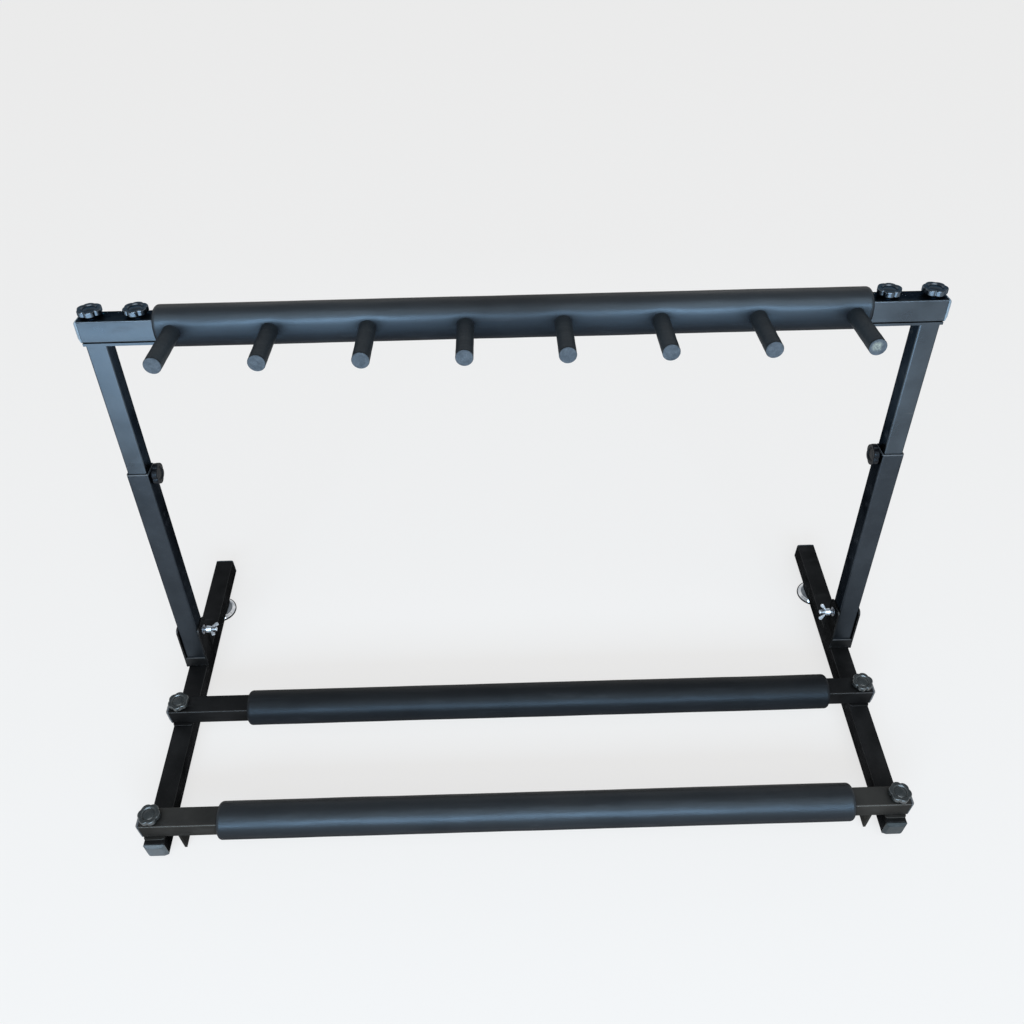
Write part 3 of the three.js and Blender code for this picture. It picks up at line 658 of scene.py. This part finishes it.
def sleeve_rule():
    """Presses a foam sleeve in round each peg, and leaves it a little uneven along its length."""
    core_radius = 15 * MM
    skin_radius = 20 * MM
    wave_length = 26 * MM
    wave_middle = 0.42
    rule = Rule("foam sleeve", Pegs=int, Pitch=float, Groove=float, Hollow=float, Hollow_Length=float,
                Hollow_Height=float, Unevenness=float, Seed=float, Finish=bpy.types.Material)
    position = rule.node("GeometryNodeInputPosition").outputs[0]
    x, y, z = rule.node("ShaderNodeSeparateXYZ", position).outputs

    last = rule.maths("SUBTRACT", rule["Pegs"], 1.0)
    half = rule.times(last, 0.5)
    place = rule.maths("ROUND", rule.maths("ADD", rule.maths("DIVIDE", x, rule["Pitch"]), half))
    nearest = rule.maths("MAXIMUM", rule.maths("MINIMUM", place, last), 0.0)
    peg_x = rule.times(rule.maths("SUBTRACT", nearest, half), rule["Pitch"])
    along = rule.maths("DIVIDE", rule.maths("SUBTRACT", x, peg_x), rule["Hollow_Length"])
    reach = rule.maths("SQRT", rule.maths("ADD", rule.times(y, y), rule.times(z, z)))
    angle = rule.maths("ARCTAN2", z, rule.times(y, -1.0))
    around = rule.maths("DIVIDE", rule.times(angle, reach), rule["Hollow_Height"])
    hollow = rule.times(rule.bell(along), rule["Hollow"])
    pressed = rule.times(rule.bell(around), rule.maths("ADD", hollow, rule["Groove"]))

    stretched = rule.node("ShaderNodeVectorMath", position, (0.35, 1.0, 1.0),
                          settings={"operation": "MULTIPLY"})
    wave = rule.node("ShaderNodeTexNoise", settings={"noise_dimensions": "4D"})
    wave.inputs["Scale"].default_value = 1 / wave_length
    wave.inputs["Detail"].default_value = 1.5
    rule.tree.links.new(stretched.outputs[0], wave.inputs["Vector"])
    rule.tree.links.new(rule["Seed"], wave.inputs["W"])
    swing = rule.maths("SUBTRACT", wave.outputs[0], wave_middle)
    uneven = rule.times(swing, rule["Unevenness"])

    skin = rule.node("ShaderNodeMapRange", reach, core_radius, skin_radius, 0.0, 1.0).outputs[0]
    inward = rule.times(rule.times(rule.maths("ADD", pressed, uneven), skin), -1.0)
    outward = rule.node("ShaderNodeCombineXYZ", 0.0, rule.maths("DIVIDE", y, reach),
                        rule.maths("DIVIDE", z, reach))
    shift = rule.node("ShaderNodeVectorMath", outward.outputs[0], settings={"operation": "SCALE"})
    rule.tree.links.new(inward, shift.inputs["Scale"])
    moved = rule.node("GeometryNodeSetPosition", rule["Geometry"], Offset=shift.outputs[0])
    rule.end_finished(moved.outputs[0])
    return rule


def thread_rule():
    """Winds a screw thread round Z, upwards from the origin."""
    rule = Rule("screw thread", Radius=float, Pitch=float, Turns=float, Depth=float,
                Finish=bpy.types.Material)
    height = rule.times(rule["Pitch"], rule["Turns"])
    spiral = rule.node("GeometryNodeCurveSpiral", Resolution=28, Rotations=rule["Turns"],
                       Start_Radius=rule["Radius"], End_Radius=rule["Radius"], Height=height)
    section = rule.node("GeometryNodeCurvePrimitiveCircle", Resolution=4, Radius=rule["Depth"])
    wound = rule.node("GeometryNodeCurveToMesh", spiral.outputs[0], section.outputs[0], Fill_Caps=True)
    rule.end_finished(wound.outputs[0])
    return rule


def weld_rule():
    """Lays overlapping weld ripples along the edges of a draft path."""
    smallest = 0.85
    largest = 1.1
    rule = Rule("weld bead", Ripple=float, Width=float, Seed=int, Finish=bpy.types.Material)
    path = rule.node("GeometryNodeMeshToCurve", rule["Geometry"])
    points = rule.node("GeometryNodeCurveToPoints", path.outputs[0], settings={"mode": "LENGTH"},
                       Length=rule["Ripple"])
    drop = rule.node("GeometryNodeMeshIcoSphere", rule["Width"], 2)
    size = rule.node("FunctionNodeRandomValue", settings={"data_type": "FLOAT"})
    size.inputs[2].default_value = smallest
    size.inputs[3].default_value = largest
    rule.tree.links.new(rule["Seed"], size.inputs["Seed"])
    beads = rule.node("GeometryNodeInstanceOnPoints", Points=points.outputs[0], Instance=drop.outputs[0],
                      Scale=size.outputs[1])
    rule.end_finished(beads.outputs[0])
    return rule


peg_row = peg_row_rule()
sleeve_shape = sleeve_rule()
thread = thread_rule()
weld = weld_rule()


# Tubes, plates and brackets, with the widths of their rounded edges

tube_edge = 0.35 * MM
bracket_edge = 0.4 * MM
strip_edge = 1.0 * MM
outer_edge = 0.3 * MM
collar_edge = 0.36 * MM

# A bracket's web gets the lighter coat, partly a painted highlight, where it faces up at least this much,
# this close to its top
facing_up = 0.95
web_depth = 1.5 * MM

for node in ("left_leg_tube", "right_leg_tube", "middle_crossbar", "middle_left_saddle",
             "middle_right_saddle"):
    edged(node, "painted", low_steel, tube_edge, steps=3)
for node in ("left_hinge_bracket", "right_hinge_bracket"):
    # The bracket's rounded edges and the top of its web get the lighter coat, partly a painted highlight
    bracket = edged(node, "painted", low_steel, bracket_edge, steps=3, rubbed=rubbed_and_lit_coat)
    for face in bracket.data.polygons:
        if face.normal.z > facing_up and abs(face.center.z - web_top_z) < web_depth:
            face.material_index = 1
for node in ("front_crossbar", "front_left_saddle", "front_right_saddle"):
    edged(node, "painted", front_steel, tube_edge)
for node in ("top_crossbar", "left_inner_upright", "right_inner_upright"):
    edged(node, "painted", high_steel, tube_edge)
for node in ("left_top_strip", "right_top_strip"):
    edged(node, "painted", high_steel, strip_edge, steps=3)
for node in ("left_outer_upright", "right_outer_upright"):
    edged(node, "painted", outer_steel, outer_edge)
for node in ("left_guide_collar", "right_guide_collar"):
    edged(node, "moulded", cap_plastic, collar_edge, steps=3)


# End caps

cap_head = 4 * MM
cap_chamfer = 3 * MM
cap_corner = 2 * MM
cap_softness = 0.6 * MM
cap_lip = 0.2 * MM
cap_crown = 0.05 * MM
plug_side = 21.4 * MM
plug_corner = 1 * MM
leg_plug = 13 * MM
bar_plug = 8.5 * MM


def end_cap(name, plug, plastic):
    """Cap along +Z on the end of a tube: a bevelled head, and a plug in the tube."""
    side = 2 * tube_half
    narrow = side - 2 * cap_chamfer
    shoulder = cap_head - cap_chamfer
    rings = [
        square_ring(plug_side, plug_corner, -plug),
        square_ring(plug_side, plug_corner, 0),
        square_ring(side - 2 * cap_lip, cap_corner, 0),
        square_ring(side, cap_corner, cap_lip),
        square_ring(side, cap_corner, shoulder - cap_lip),
        square_ring(side - 0.5 * cap_softness, cap_corner, shoulder + 0.4 * cap_softness),
        square_ring(narrow + 2 * cap_softness, cap_corner, cap_head - cap_softness),
        square_ring(narrow + 0.5 * cap_softness, cap_corner, cap_head - 0.12 * cap_softness),
        square_ring(narrow - cap_softness, cap_corner, cap_head),
        square_ring(narrow / 2, cap_corner, cap_head + cap_crown),
    ]
    return smooth(skinned(name, rings, plastic))


bars = (
    ("front_crossbar", at(0, front_bar_y, bar_middle_z)),
    ("middle_crossbar", at(0, middle_bar_y, bar_middle_z)),
    ("top_crossbar", top_bar_frame),
)
for side_name, side in SIDES.items():
    for end_name, end in (("front", -1), ("rear", 1)):
        node = f"{side_name}_leg_{end_name}_cap"
        place = at(side * leg_x, end * (leg_half - cap_head), leg_middle_z)
        # The right front leg cap gets the darker copy: painted shade
        plastic = shaded_leg_cap_plastic if node == "right_leg_front_cap" else leg_cap_plastic
        cap = end_cap(f"{node}_moulded", leg_plug, plastic)
        fit(cap, node, place @ Matrix.Rotation(-end * quarter_turn, 4, "X"))
    for bar_name, bar in bars:
        node = f"{bar_name}_{side_name}_cap"
        place = bar @ at(side * (bar_half - cap_head), 0, 0)
        # The top bar's caps get the lighter copy: a painted highlight
        plastic = top_cap_plastic if bar_name == "top_crossbar" else cap_plastic
        cap = end_cap(f"{node}_moulded", bar_plug, plastic)
        fit(cap, node, place @ Matrix.Rotation(side * quarter_turn, 4, "Y"))


# Clamping knobs

knob_height = 9.5 * MM
head_height = 3 * MM
stud_radius = 3 * MM
lobe_flatness = 0.55
groove_width = 0.25
groove_least = 0.55
lobe_depth = 2.2 * MM
low_round = 1.3 * MM
low_round_reach = 11.7 * MM
high_round = 1.6 * MM
high_round_reach = 11.4 * MM
button_radius = 6.7 * MM
button_point = 0.5 * MM
button_drop = 1.3 * MM
button_rise = 1.0 * MM
button_rings = 8


def lobed_ring(radius, groove, height, turn):
    """Six broad lobes with narrow grooves between them."""
    ring = []
    for i in range(knob_sides):
        a = 2 * math.pi * i / knob_sides
        swell = abs(math.cos(3 * (a - turn))) ** lobe_flatness
        swell = 1 - (1 - swell) * min(1, swell / groove_width + groove_least)
        reach = radius - groove * (1 - swell)
        ring.append((reach * math.cos(a), reach * math.sin(a), height))
    return ring


def clamping_knob(name, turn, stud, plastic):
    """Knob along +Z from its seat: neck, lobed head, and a button pressed into its dished top."""
    turn = math.radians(turn)
    neck = [(stud_radius, -stud), (stud_radius, seat_gap), (6.6 * MM, seat_gap)]
    neck += in_mm((7, 0.7), (7, 2.6), (7.5, 3))
    rings = [round_ring(r, z, knob_sides) for r, z in neck]
    rings.append(lobed_ring(11.6 * MM, 2 * MM, head_height, turn))
    for r, z in arc((low_round_reach, head_height + low_round), low_round, -90, 0, 4):
        rings.append(lobed_ring(r, lobe_depth, z, turn))
    for r, z in arc((high_round_reach, knob_height - high_round), high_round, 0, 90, 6):
        shallow = min(1, 0.6 + (r - high_round_reach) / (2.5 * MM))
        rings.append(lobed_ring(r, lobe_depth * shallow, z, turn))
    rings.append(lobed_ring(9.6 * MM, 0.5 * MM, knob_height - 0.03 * MM, turn))
    for r, drop in in_mm((8.6, 0.08), (8.2, 0.35), (7.9, 0.9), (7.5, 1.45), (7.1, 1.6), (6.9, 1.55)):
        rings.append(round_ring(r, knob_height - drop, knob_sides))
    for i in range(button_rings + 1):
        share = i / button_rings
        radius = button_radius - (button_radius - button_point) * share
        rise = button_rise * math.sin(share * quarter_turn) ** 0.8
        rings.append(round_ring(radius, knob_height - button_drop + rise, knob_sides))
    return smooth(skinned(name, rings, plastic))


low_stud = 34 * MM
top_stud = 33.1 * MM
side_stud = 1.2 * MM
knobs = {
    "front_left_knob": (at(-leg_x, front_bar_y, bar_top_z), 0, low_stud),
    "front_right_knob": (at(leg_x, front_bar_y, bar_top_z), -16, low_stud),
    "middle_left_knob": (at(-leg_x, middle_bar_y, bar_top_z), 30, low_stud),
    "middle_right_knob": (at(leg_x, middle_bar_y, bar_top_z), 9, low_stud),
    "top_left_outer_knob": (top_bar_frame @ at(-leg_x, 0, tube_half), -14, top_stud),
    "top_left_inner_knob": (top_bar_frame @ at(-inner_knob_x, 0, tube_half), 28, top_stud),
    "top_right_inner_knob": (top_bar_frame @ at(inner_knob_x, 0, tube_half), 9, top_stud),
    "top_right_outer_knob": (top_bar_frame @ at(leg_x, 0, tube_half), -18, top_stud),
}
for side_name, side in SIDES.items():
    seat = upright_frame @ at(side * (leg_x - tube_half), 0, side_knob_reach)
    place = seat @ Matrix.Rotation(-side * quarter_turn, 4, "Y")
    knobs[f"{side_name}_side_knob"] = (place, 4 + 5 * side, side_stud)
for node, (place, turn, stud) in knobs.items():
    # Top knobs get the lighter copy, side knobs the darker one: painted light and shade
    plastic = side_knob_plastic if "side" in node else top_knob_plastic if "top" in node else low_knob_plastic
    fit(clamping_knob(f"{node}_moulded", turn, stud, plastic), node, place)


# Hinge bolts, washers and wing nuts

washer_seat = 2 * bracket_half + seat_gap
bolt_length = washer_seat + 18.7 * MM
bolt_radius = 2.75 * MM
bolt_tip = 0.6 * MM
thread_length = 20.6 * MM
neck_side = 6.4 * MM
wing_nut_edge = 0.55 * MM


def hinge_bolt(name):
    """Coach bolt along +Z from the bracket's outer face: domed head, square neck, threaded end."""
    profile = in_mm((0.4, -4.3), (3, -4.1), (5.6, -3.4), (7.2, -2.2), (7.9, -1.0), (8, -0.5), (7.8, -0.3),
                    (3, -0.3))
    profile += [(bolt_radius, 0.4 * MM), (bolt_radius, bolt_length - bolt_tip), (2.2 * MM, bolt_length),
                (0.4 * MM, bolt_length)]
    body = skinned(name, [round_ring(r, z, bolt_sides) for r, z in profile], zinc, shaded_zinc)
    square = [square_ring(neck_side, 0.5 * MM, height, 3) for height in (-0.5 * MM, 2 * MM)]
    neck = skinned(name + "_neck", square, zinc)
    wound = mesh_object(name + "_thread", [(0, 0, 0)], [], shaded_zinc)
    thread.shape(wound, Radius=2.78 * MM, Pitch=1 * MM, Turns=20.0, Depth=0.36 * MM, Finish=shaded_zinc)
    wound.data.transform(at(0, 0, bolt_length - thread_length))
    # The thread gets the darker zinc: painted shade
    for face in wound.data.polygons:
        face.material_index = 1
    return merged(name, [smooth(body), neck, wound])


def plain_washer(name):
    inner = 3.3 * MM
    outer = 6.3 * MM
    thick = 1.5 * MM
    soft = 0.25 * MM
    profile = [(inner, soft), (inner + soft, 0), (outer - soft, 0), (outer, soft),
               (outer, thick - soft), (outer - soft, thick), (inner + soft, thick), (inner, thick - soft)]
    rings = [round_ring(r, z, round_sides) for r, z in profile]
    # The washer gets the darker zinc: painted shade
    return smooth(skinned(name, rings, shaded_zinc, closed=True))


for side_name, side in SIDES.items():
    seat = at(side * (leg_x + bracket_half), pivot.y, pivot.z)
    stack = seat @ Matrix.Rotation(-side * quarter_turn, 4, "Y")
    fit(hinge_bolt(f"{side_name}_pivot_bolt_plated"), f"{side_name}_pivot_bolt", stack)
    fit(plain_washer(f"{side_name}_pivot_washer_plated"), f"{side_name}_pivot_washer",
        stack @ at(0, 0, washer_seat))
    edged(f"{side_name}_wing_nut", "plated", zinc, wing_nut_edge, steps=3, angle=35)


# Feet

def chrome_foot(name):
    """A shallow chromed dome on a thin black glide, with its stud."""
    glide = in_mm((0.5, 0), (21.3, 0), (22, 0.5), (22, 1.7), (21.7, 2.0))
    flank = in_mm((20.9, 2.0), (20.8, 2.3), (20.3, 3.1), (18.9, 4.9), (18.3, 5.5))
    slants = [quarter_turn * i / 12 for i in range(1, 13)]
    dome = in_mm(*((4 + 14.3 * math.cos(a), 5.5 + 3.2 * math.sin(a)) for a in slants))
    profile = glide + flank + dome + in_mm((4, 20.7), (0.5, 20.7))
    rings = [round_ring(r, z, foot_sides) for r, z in profile]
    return smooth(skinned(name, rings, chrome, foot_rubber, finish_of_ring=lambda k: int(k < len(glide))))


def rubber_foot(name):
    profile = in_mm((0.5, 0), (8.6, 0), (9.2, 0.4), (9.9, 7.6), (9.8, 8.4), (9.3, 8.7), (3, 8.7), (3, 13.7),
                    (0.5, 13.7))
    return smooth(skinned(name, [round_ring(r, z, round_sides) for r, z in profile], foot_rubber))


for side_name, side in SIDES.items():
    fit(chrome_foot(f"{side_name}_chrome_foot_plated"), f"{side_name}_chrome_foot",
        at(side * leg_x, foot_y, 0))
    fit(rubber_foot(f"{side_name}_rubber_foot_moulded"), f"{side_name}_rubber_foot",
        at(side * leg_x, rubber_foot_y, 0))


# Foam sleeves

sleeve_steps = 300
hollow_length = 15 * MM
hollow_height = 11 * MM
unevenness = 0.9 * MM
bore_mouth = 0.6 * MM
bore_step = 6 * MM


def foam_sleeve(node, finish, place, seed, groove=0.0, hollow=0.0):
    """Foam tube along X: round outside, square bore on the bar, soft ends."""
    half = sleeve_length / 2
    flat = half - sleeve_round
    places = {max(-flat, min(flat, half * (2 * i / sleeve_steps - 1))) for i in range(sleeve_steps + 1)}
    middle = [(sleeve_radius, x) for x in sorted(places)]
    right = arc((sleeve_radius - sleeve_round, flat), sleeve_round, 0, 90, 6)[1:]
    right += [(16.5 * MM, half), (15 * MM, half)]
    left = [(r, -x) for r, x in reversed(right)]

    def ring(x, radius=None):
        """Round, or square like the bore if no radius is given."""
        points = []
        for i in range(sleeve_sides):
            a = 2 * math.pi * i / sleeve_sides
            c, s = math.cos(a), math.sin(a)
            reach = radius or sleeve_bore / max(abs(c), abs(s))
            points.append((x, reach * c, reach * s))
        return points

    rings = [ring(x, r) for r, x in left + middle + right]
    rings += [ring(x) for x in (half - bore_mouth, half - bore_step, bore_step - half, bore_mouth - half)]
    made = skinned(f"{node}_soft", rings, finish, closed=True)
    made.data.shade_smooth()
    sleeve_shape.shape(made, Pegs=peg_count, Pitch=peg_pitch, Groove=groove, Hollow=hollow,
                       Hollow_Length=hollow_length, Hollow_Height=hollow_height, Unevenness=unevenness,
                       Seed=seed, Finish=finish)
    fit(made, node, place)


foam_sleeve("top_foam_sleeve", top_foam, top_bar_frame, seed=1.7, groove=2.3 * MM, hollow=2.4 * MM)
foam_sleeve("middle_foam_sleeve", middle_foam, at(middle_sleeve_shift, middle_bar_y, bar_middle_z), seed=5.2)
foam_sleeve("front_foam_sleeve", front_foam, at(front_sleeve_shift, front_bar_y, bar_middle_z), seed=9.4)


# Pegs

def peg():
    """A foam peg along -Y from the bar's front face, sawn flat at its tip."""
    steps = 40
    edge = 1.1 * MM
    shaft = peg_reach - 1.2 * MM - seat_gap
    profile = []
    for i in range(steps + 1):
        swell = 1 - 0.006 * (1 - math.cos(7 * math.pi * i / steps))
        profile.append((peg_radius * swell, seat_gap + shaft * i / steps))
    profile += arc((peg_radius - edge, peg_reach - edge), edge, 0, 90, 4)
    for radius, dip in in_mm((7.2, 0.05), (6, 0.16), (4, 0.1), (2, 0.18), (0.5, 0.12)):
        profile.append((radius, peg_reach - dip))
    rings = [[(x, -out, z) for x, z, out in round_ring(r, reach, round_sides)] for r, reach in profile]
    made = skinned("peg_draft", rings, peg_foam)
    made.data.shade_smooth()
    sawn = made.data.attributes.new("sawn", "BOOLEAN", "FACE")
    flat = peg_reach - 0.4 * MM
    for face in made.data.polygons:
        sawn.data[face.index].value = -face.center.y > flat
    return made


pegs = peg()
peg_row.shape(pegs, Pegs=peg_count, Pitch=peg_pitch, Seed=4, Skin=peg_foam, Cut_End=peg_end)
pegs.name = "peg_sleeves_soft"
fit(pegs, [f"peg_sleeve_{i + 1}" for i in range(peg_count)],
    top_bar_frame @ at(0, -tube_half, 0))


# Weld beads

def weld_bead(name, body, seed, ends):
    """A bead between each pair of ends."""
    mesh = bpy.data.meshes.new(name)
    mesh.from_pydata(ends, [(i, i + 1) for i in range(0, len(ends), 2)], [])
    mesh.materials.append(low_steel)
    made = new_object(name, mesh)
    weld.shape(made, Ripple=1.1 * MM, Width=1.25 * MM, Seed=seed, Finish=low_steel)
    made.data.shade_smooth()
    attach(made, body)


bar_front_y = front_bar_y - tube_half
lug_ends = [
    (side * lug_x + face * lug_weld_x, bar_front_y + reach, lug_weld_z)
    for side in SIDES.values() for face in (-1, 1) for reach in (lug_weld_start, lug_weld_end)
]
weld_bead("lug_welds", "base", 3, lug_ends)


# Floor, light and camera

floor_half = 30.0
floor_z = -0.0002
floor_colour = (0.885, 0.882, 0.878)
floor_glow = 0.8


def pale(name, colour):
    """Pale studio surface: it keeps shadows, and shows part of its colour by itself."""
    made = bpy.data.materials.new(name)
    made.use_nodes = True
    tree = made.node_tree
    tree.nodes.clear()
    output = tree.nodes.new("ShaderNodeOutputMaterial")
    matte = tree.nodes.new("ShaderNodeBsdfDiffuse")
    glow = tree.nodes.new("ShaderNodeEmission")
    mix = tree.nodes.new("ShaderNodeMixShader")
    rays = tree.nodes.new("ShaderNodeLightPath")
    share = tree.nodes.new("ShaderNodeMath")
    share.operation = "MULTIPLY"
    share.inputs[1].default_value = floor_glow
    matte.inputs["Color"].default_value = (*colour, 1)
    glow.inputs["Color"].default_value = (*colour, 1)
    seen = rays.outputs["Is Camera Ray"]
    for kind in ("Is Glossy Ray", "Is Transmission Ray"):
        either = tree.nodes.new("ShaderNodeMath")
        either.operation = "MAXIMUM"
        tree.links.new(seen, either.inputs[0])
        tree.links.new(rays.outputs[kind], either.inputs[1])
        seen = either.outputs[0]
    tree.links.new(seen, share.inputs[0])
    tree.links.new(share.outputs[0], mix.inputs["Fac"])
    tree.links.new(matte.outputs[0], mix.inputs[1])
    tree.links.new(glow.outputs[0], mix.inputs[2])
    tree.links.new(mix.outputs[0], output.inputs["Surface"])
    return made


floor_corners = [(x * floor_half, y * floor_half, floor_z) for x, y in ((-1, -1), (1, -1), (1, 1), (-1, 1))]
floor = mesh_object("floor", floor_corners, [(0, 1, 2, 3)], pale("pale floor", floor_colour))


def soft_light(name, place, target, width, height, power, colour):
    lamp = bpy.data.lights.new(name, "AREA")
    lamp.shape = "RECTANGLE"
    lamp.size = width
    lamp.size_y = height
    lamp.energy = power
    lamp.color = colour
    holder = new_object(name, lamp)
    holder.location = place
    holder.rotation_mode = "QUATERNION"
    holder.rotation_quaternion = (Vector(target) - Vector(place)).to_track_quat("-Z", "Y")
    holder.visible_camera = False


soft_light("window light", place=(-0.05, -2.3, 1.4), target=(0, 0, 0.3), width=2.6, height=0.75, power=83,
           colour=(0.64, 0.83, 1.0))
soft_light("low light", place=(-0.8, -1.5, 0.06), target=(-0.8, -1.5, 1.0), width=3.1, height=1.2, power=47,
           colour=(0.56, 0.79, 1.0))
ceiling = bpy.data.lights.new("ceiling light", "SUN")
ceiling.energy = 1.1
ceiling.angle = math.radians(50)
ceiling.color = (1.0, 0.985, 0.96)
ceiling_direction = Vector((-0.1, 0.6, -1.0))
ceiling_holder = new_object("ceiling light", ceiling)
ceiling_holder.rotation_mode = "QUATERNION"
ceiling_holder.rotation_quaternion = ceiling_direction.to_track_quat("-Z", "Y")

# The sky is pale up to one height and darkens to another, as the sine of the angle above the horizon
pale_up_to = 0.3
dark_from = 0.62
pale_sky = (0.87, 0.87, 0.87, 1)
dark_sky = (0.19, 0.205, 0.22, 1)

world = bpy.data.worlds.new("studio")
bpy.context.scene.world = world
world.use_nodes = True
sky = world.node_tree
background = next(n for n in sky.nodes if n.type == "BACKGROUND")
direction = sky.nodes.new("ShaderNodeTexCoord")
split = sky.nodes.new("ShaderNodeSeparateXYZ")
height = sky.nodes.new("ShaderNodeMapRange")
shade = sky.nodes.new("ShaderNodeMix")
shade.data_type = "RGBA"
sky.links.new(direction.outputs["Generated"], split.inputs[0])
sky.links.new(split.outputs["Z"], height.inputs["Value"])
height.inputs["From Min"].default_value = pale_up_to
height.inputs["From Max"].default_value = dark_from
sky.links.new(height.outputs[0], shade.inputs[0])
shade.inputs[6].default_value = pale_sky
shade.inputs[7].default_value = dark_sky
sky.links.new(shade.outputs[2], background.inputs["Color"])

# The camera was fitted to the photo
pitch = math.radians(45.91)
yaw = math.radians(0.66)
roll = math.radians(1.08)
camera_place = (-0.01547, -0.71072, 1.08432)
ahead = Vector((math.sin(yaw) * math.cos(pitch), math.cos(yaw) * math.cos(pitch), -math.sin(pitch)))
level = Vector((math.cos(yaw), -math.sin(yaw), 0))
below = ahead.cross(level)
right_way = math.cos(roll) * level + math.sin(roll) * below
down_way = -math.sin(roll) * level + math.cos(roll) * below
lens = bpy.data.cameras.new("camera")
lens.lens = 32.76
lens.sensor_width = 36
lens.clip_start = 0.01
lens.clip_end = 100
camera = new_object("camera", lens)
turned = Matrix((right_way, -down_way, -ahead)).transposed().to_4x4()
camera.matrix_world = at(*camera_place) @ turned
bpy.context.scene.camera = camera
bpy.context.scene.view_settings.view_transform = "Standard"
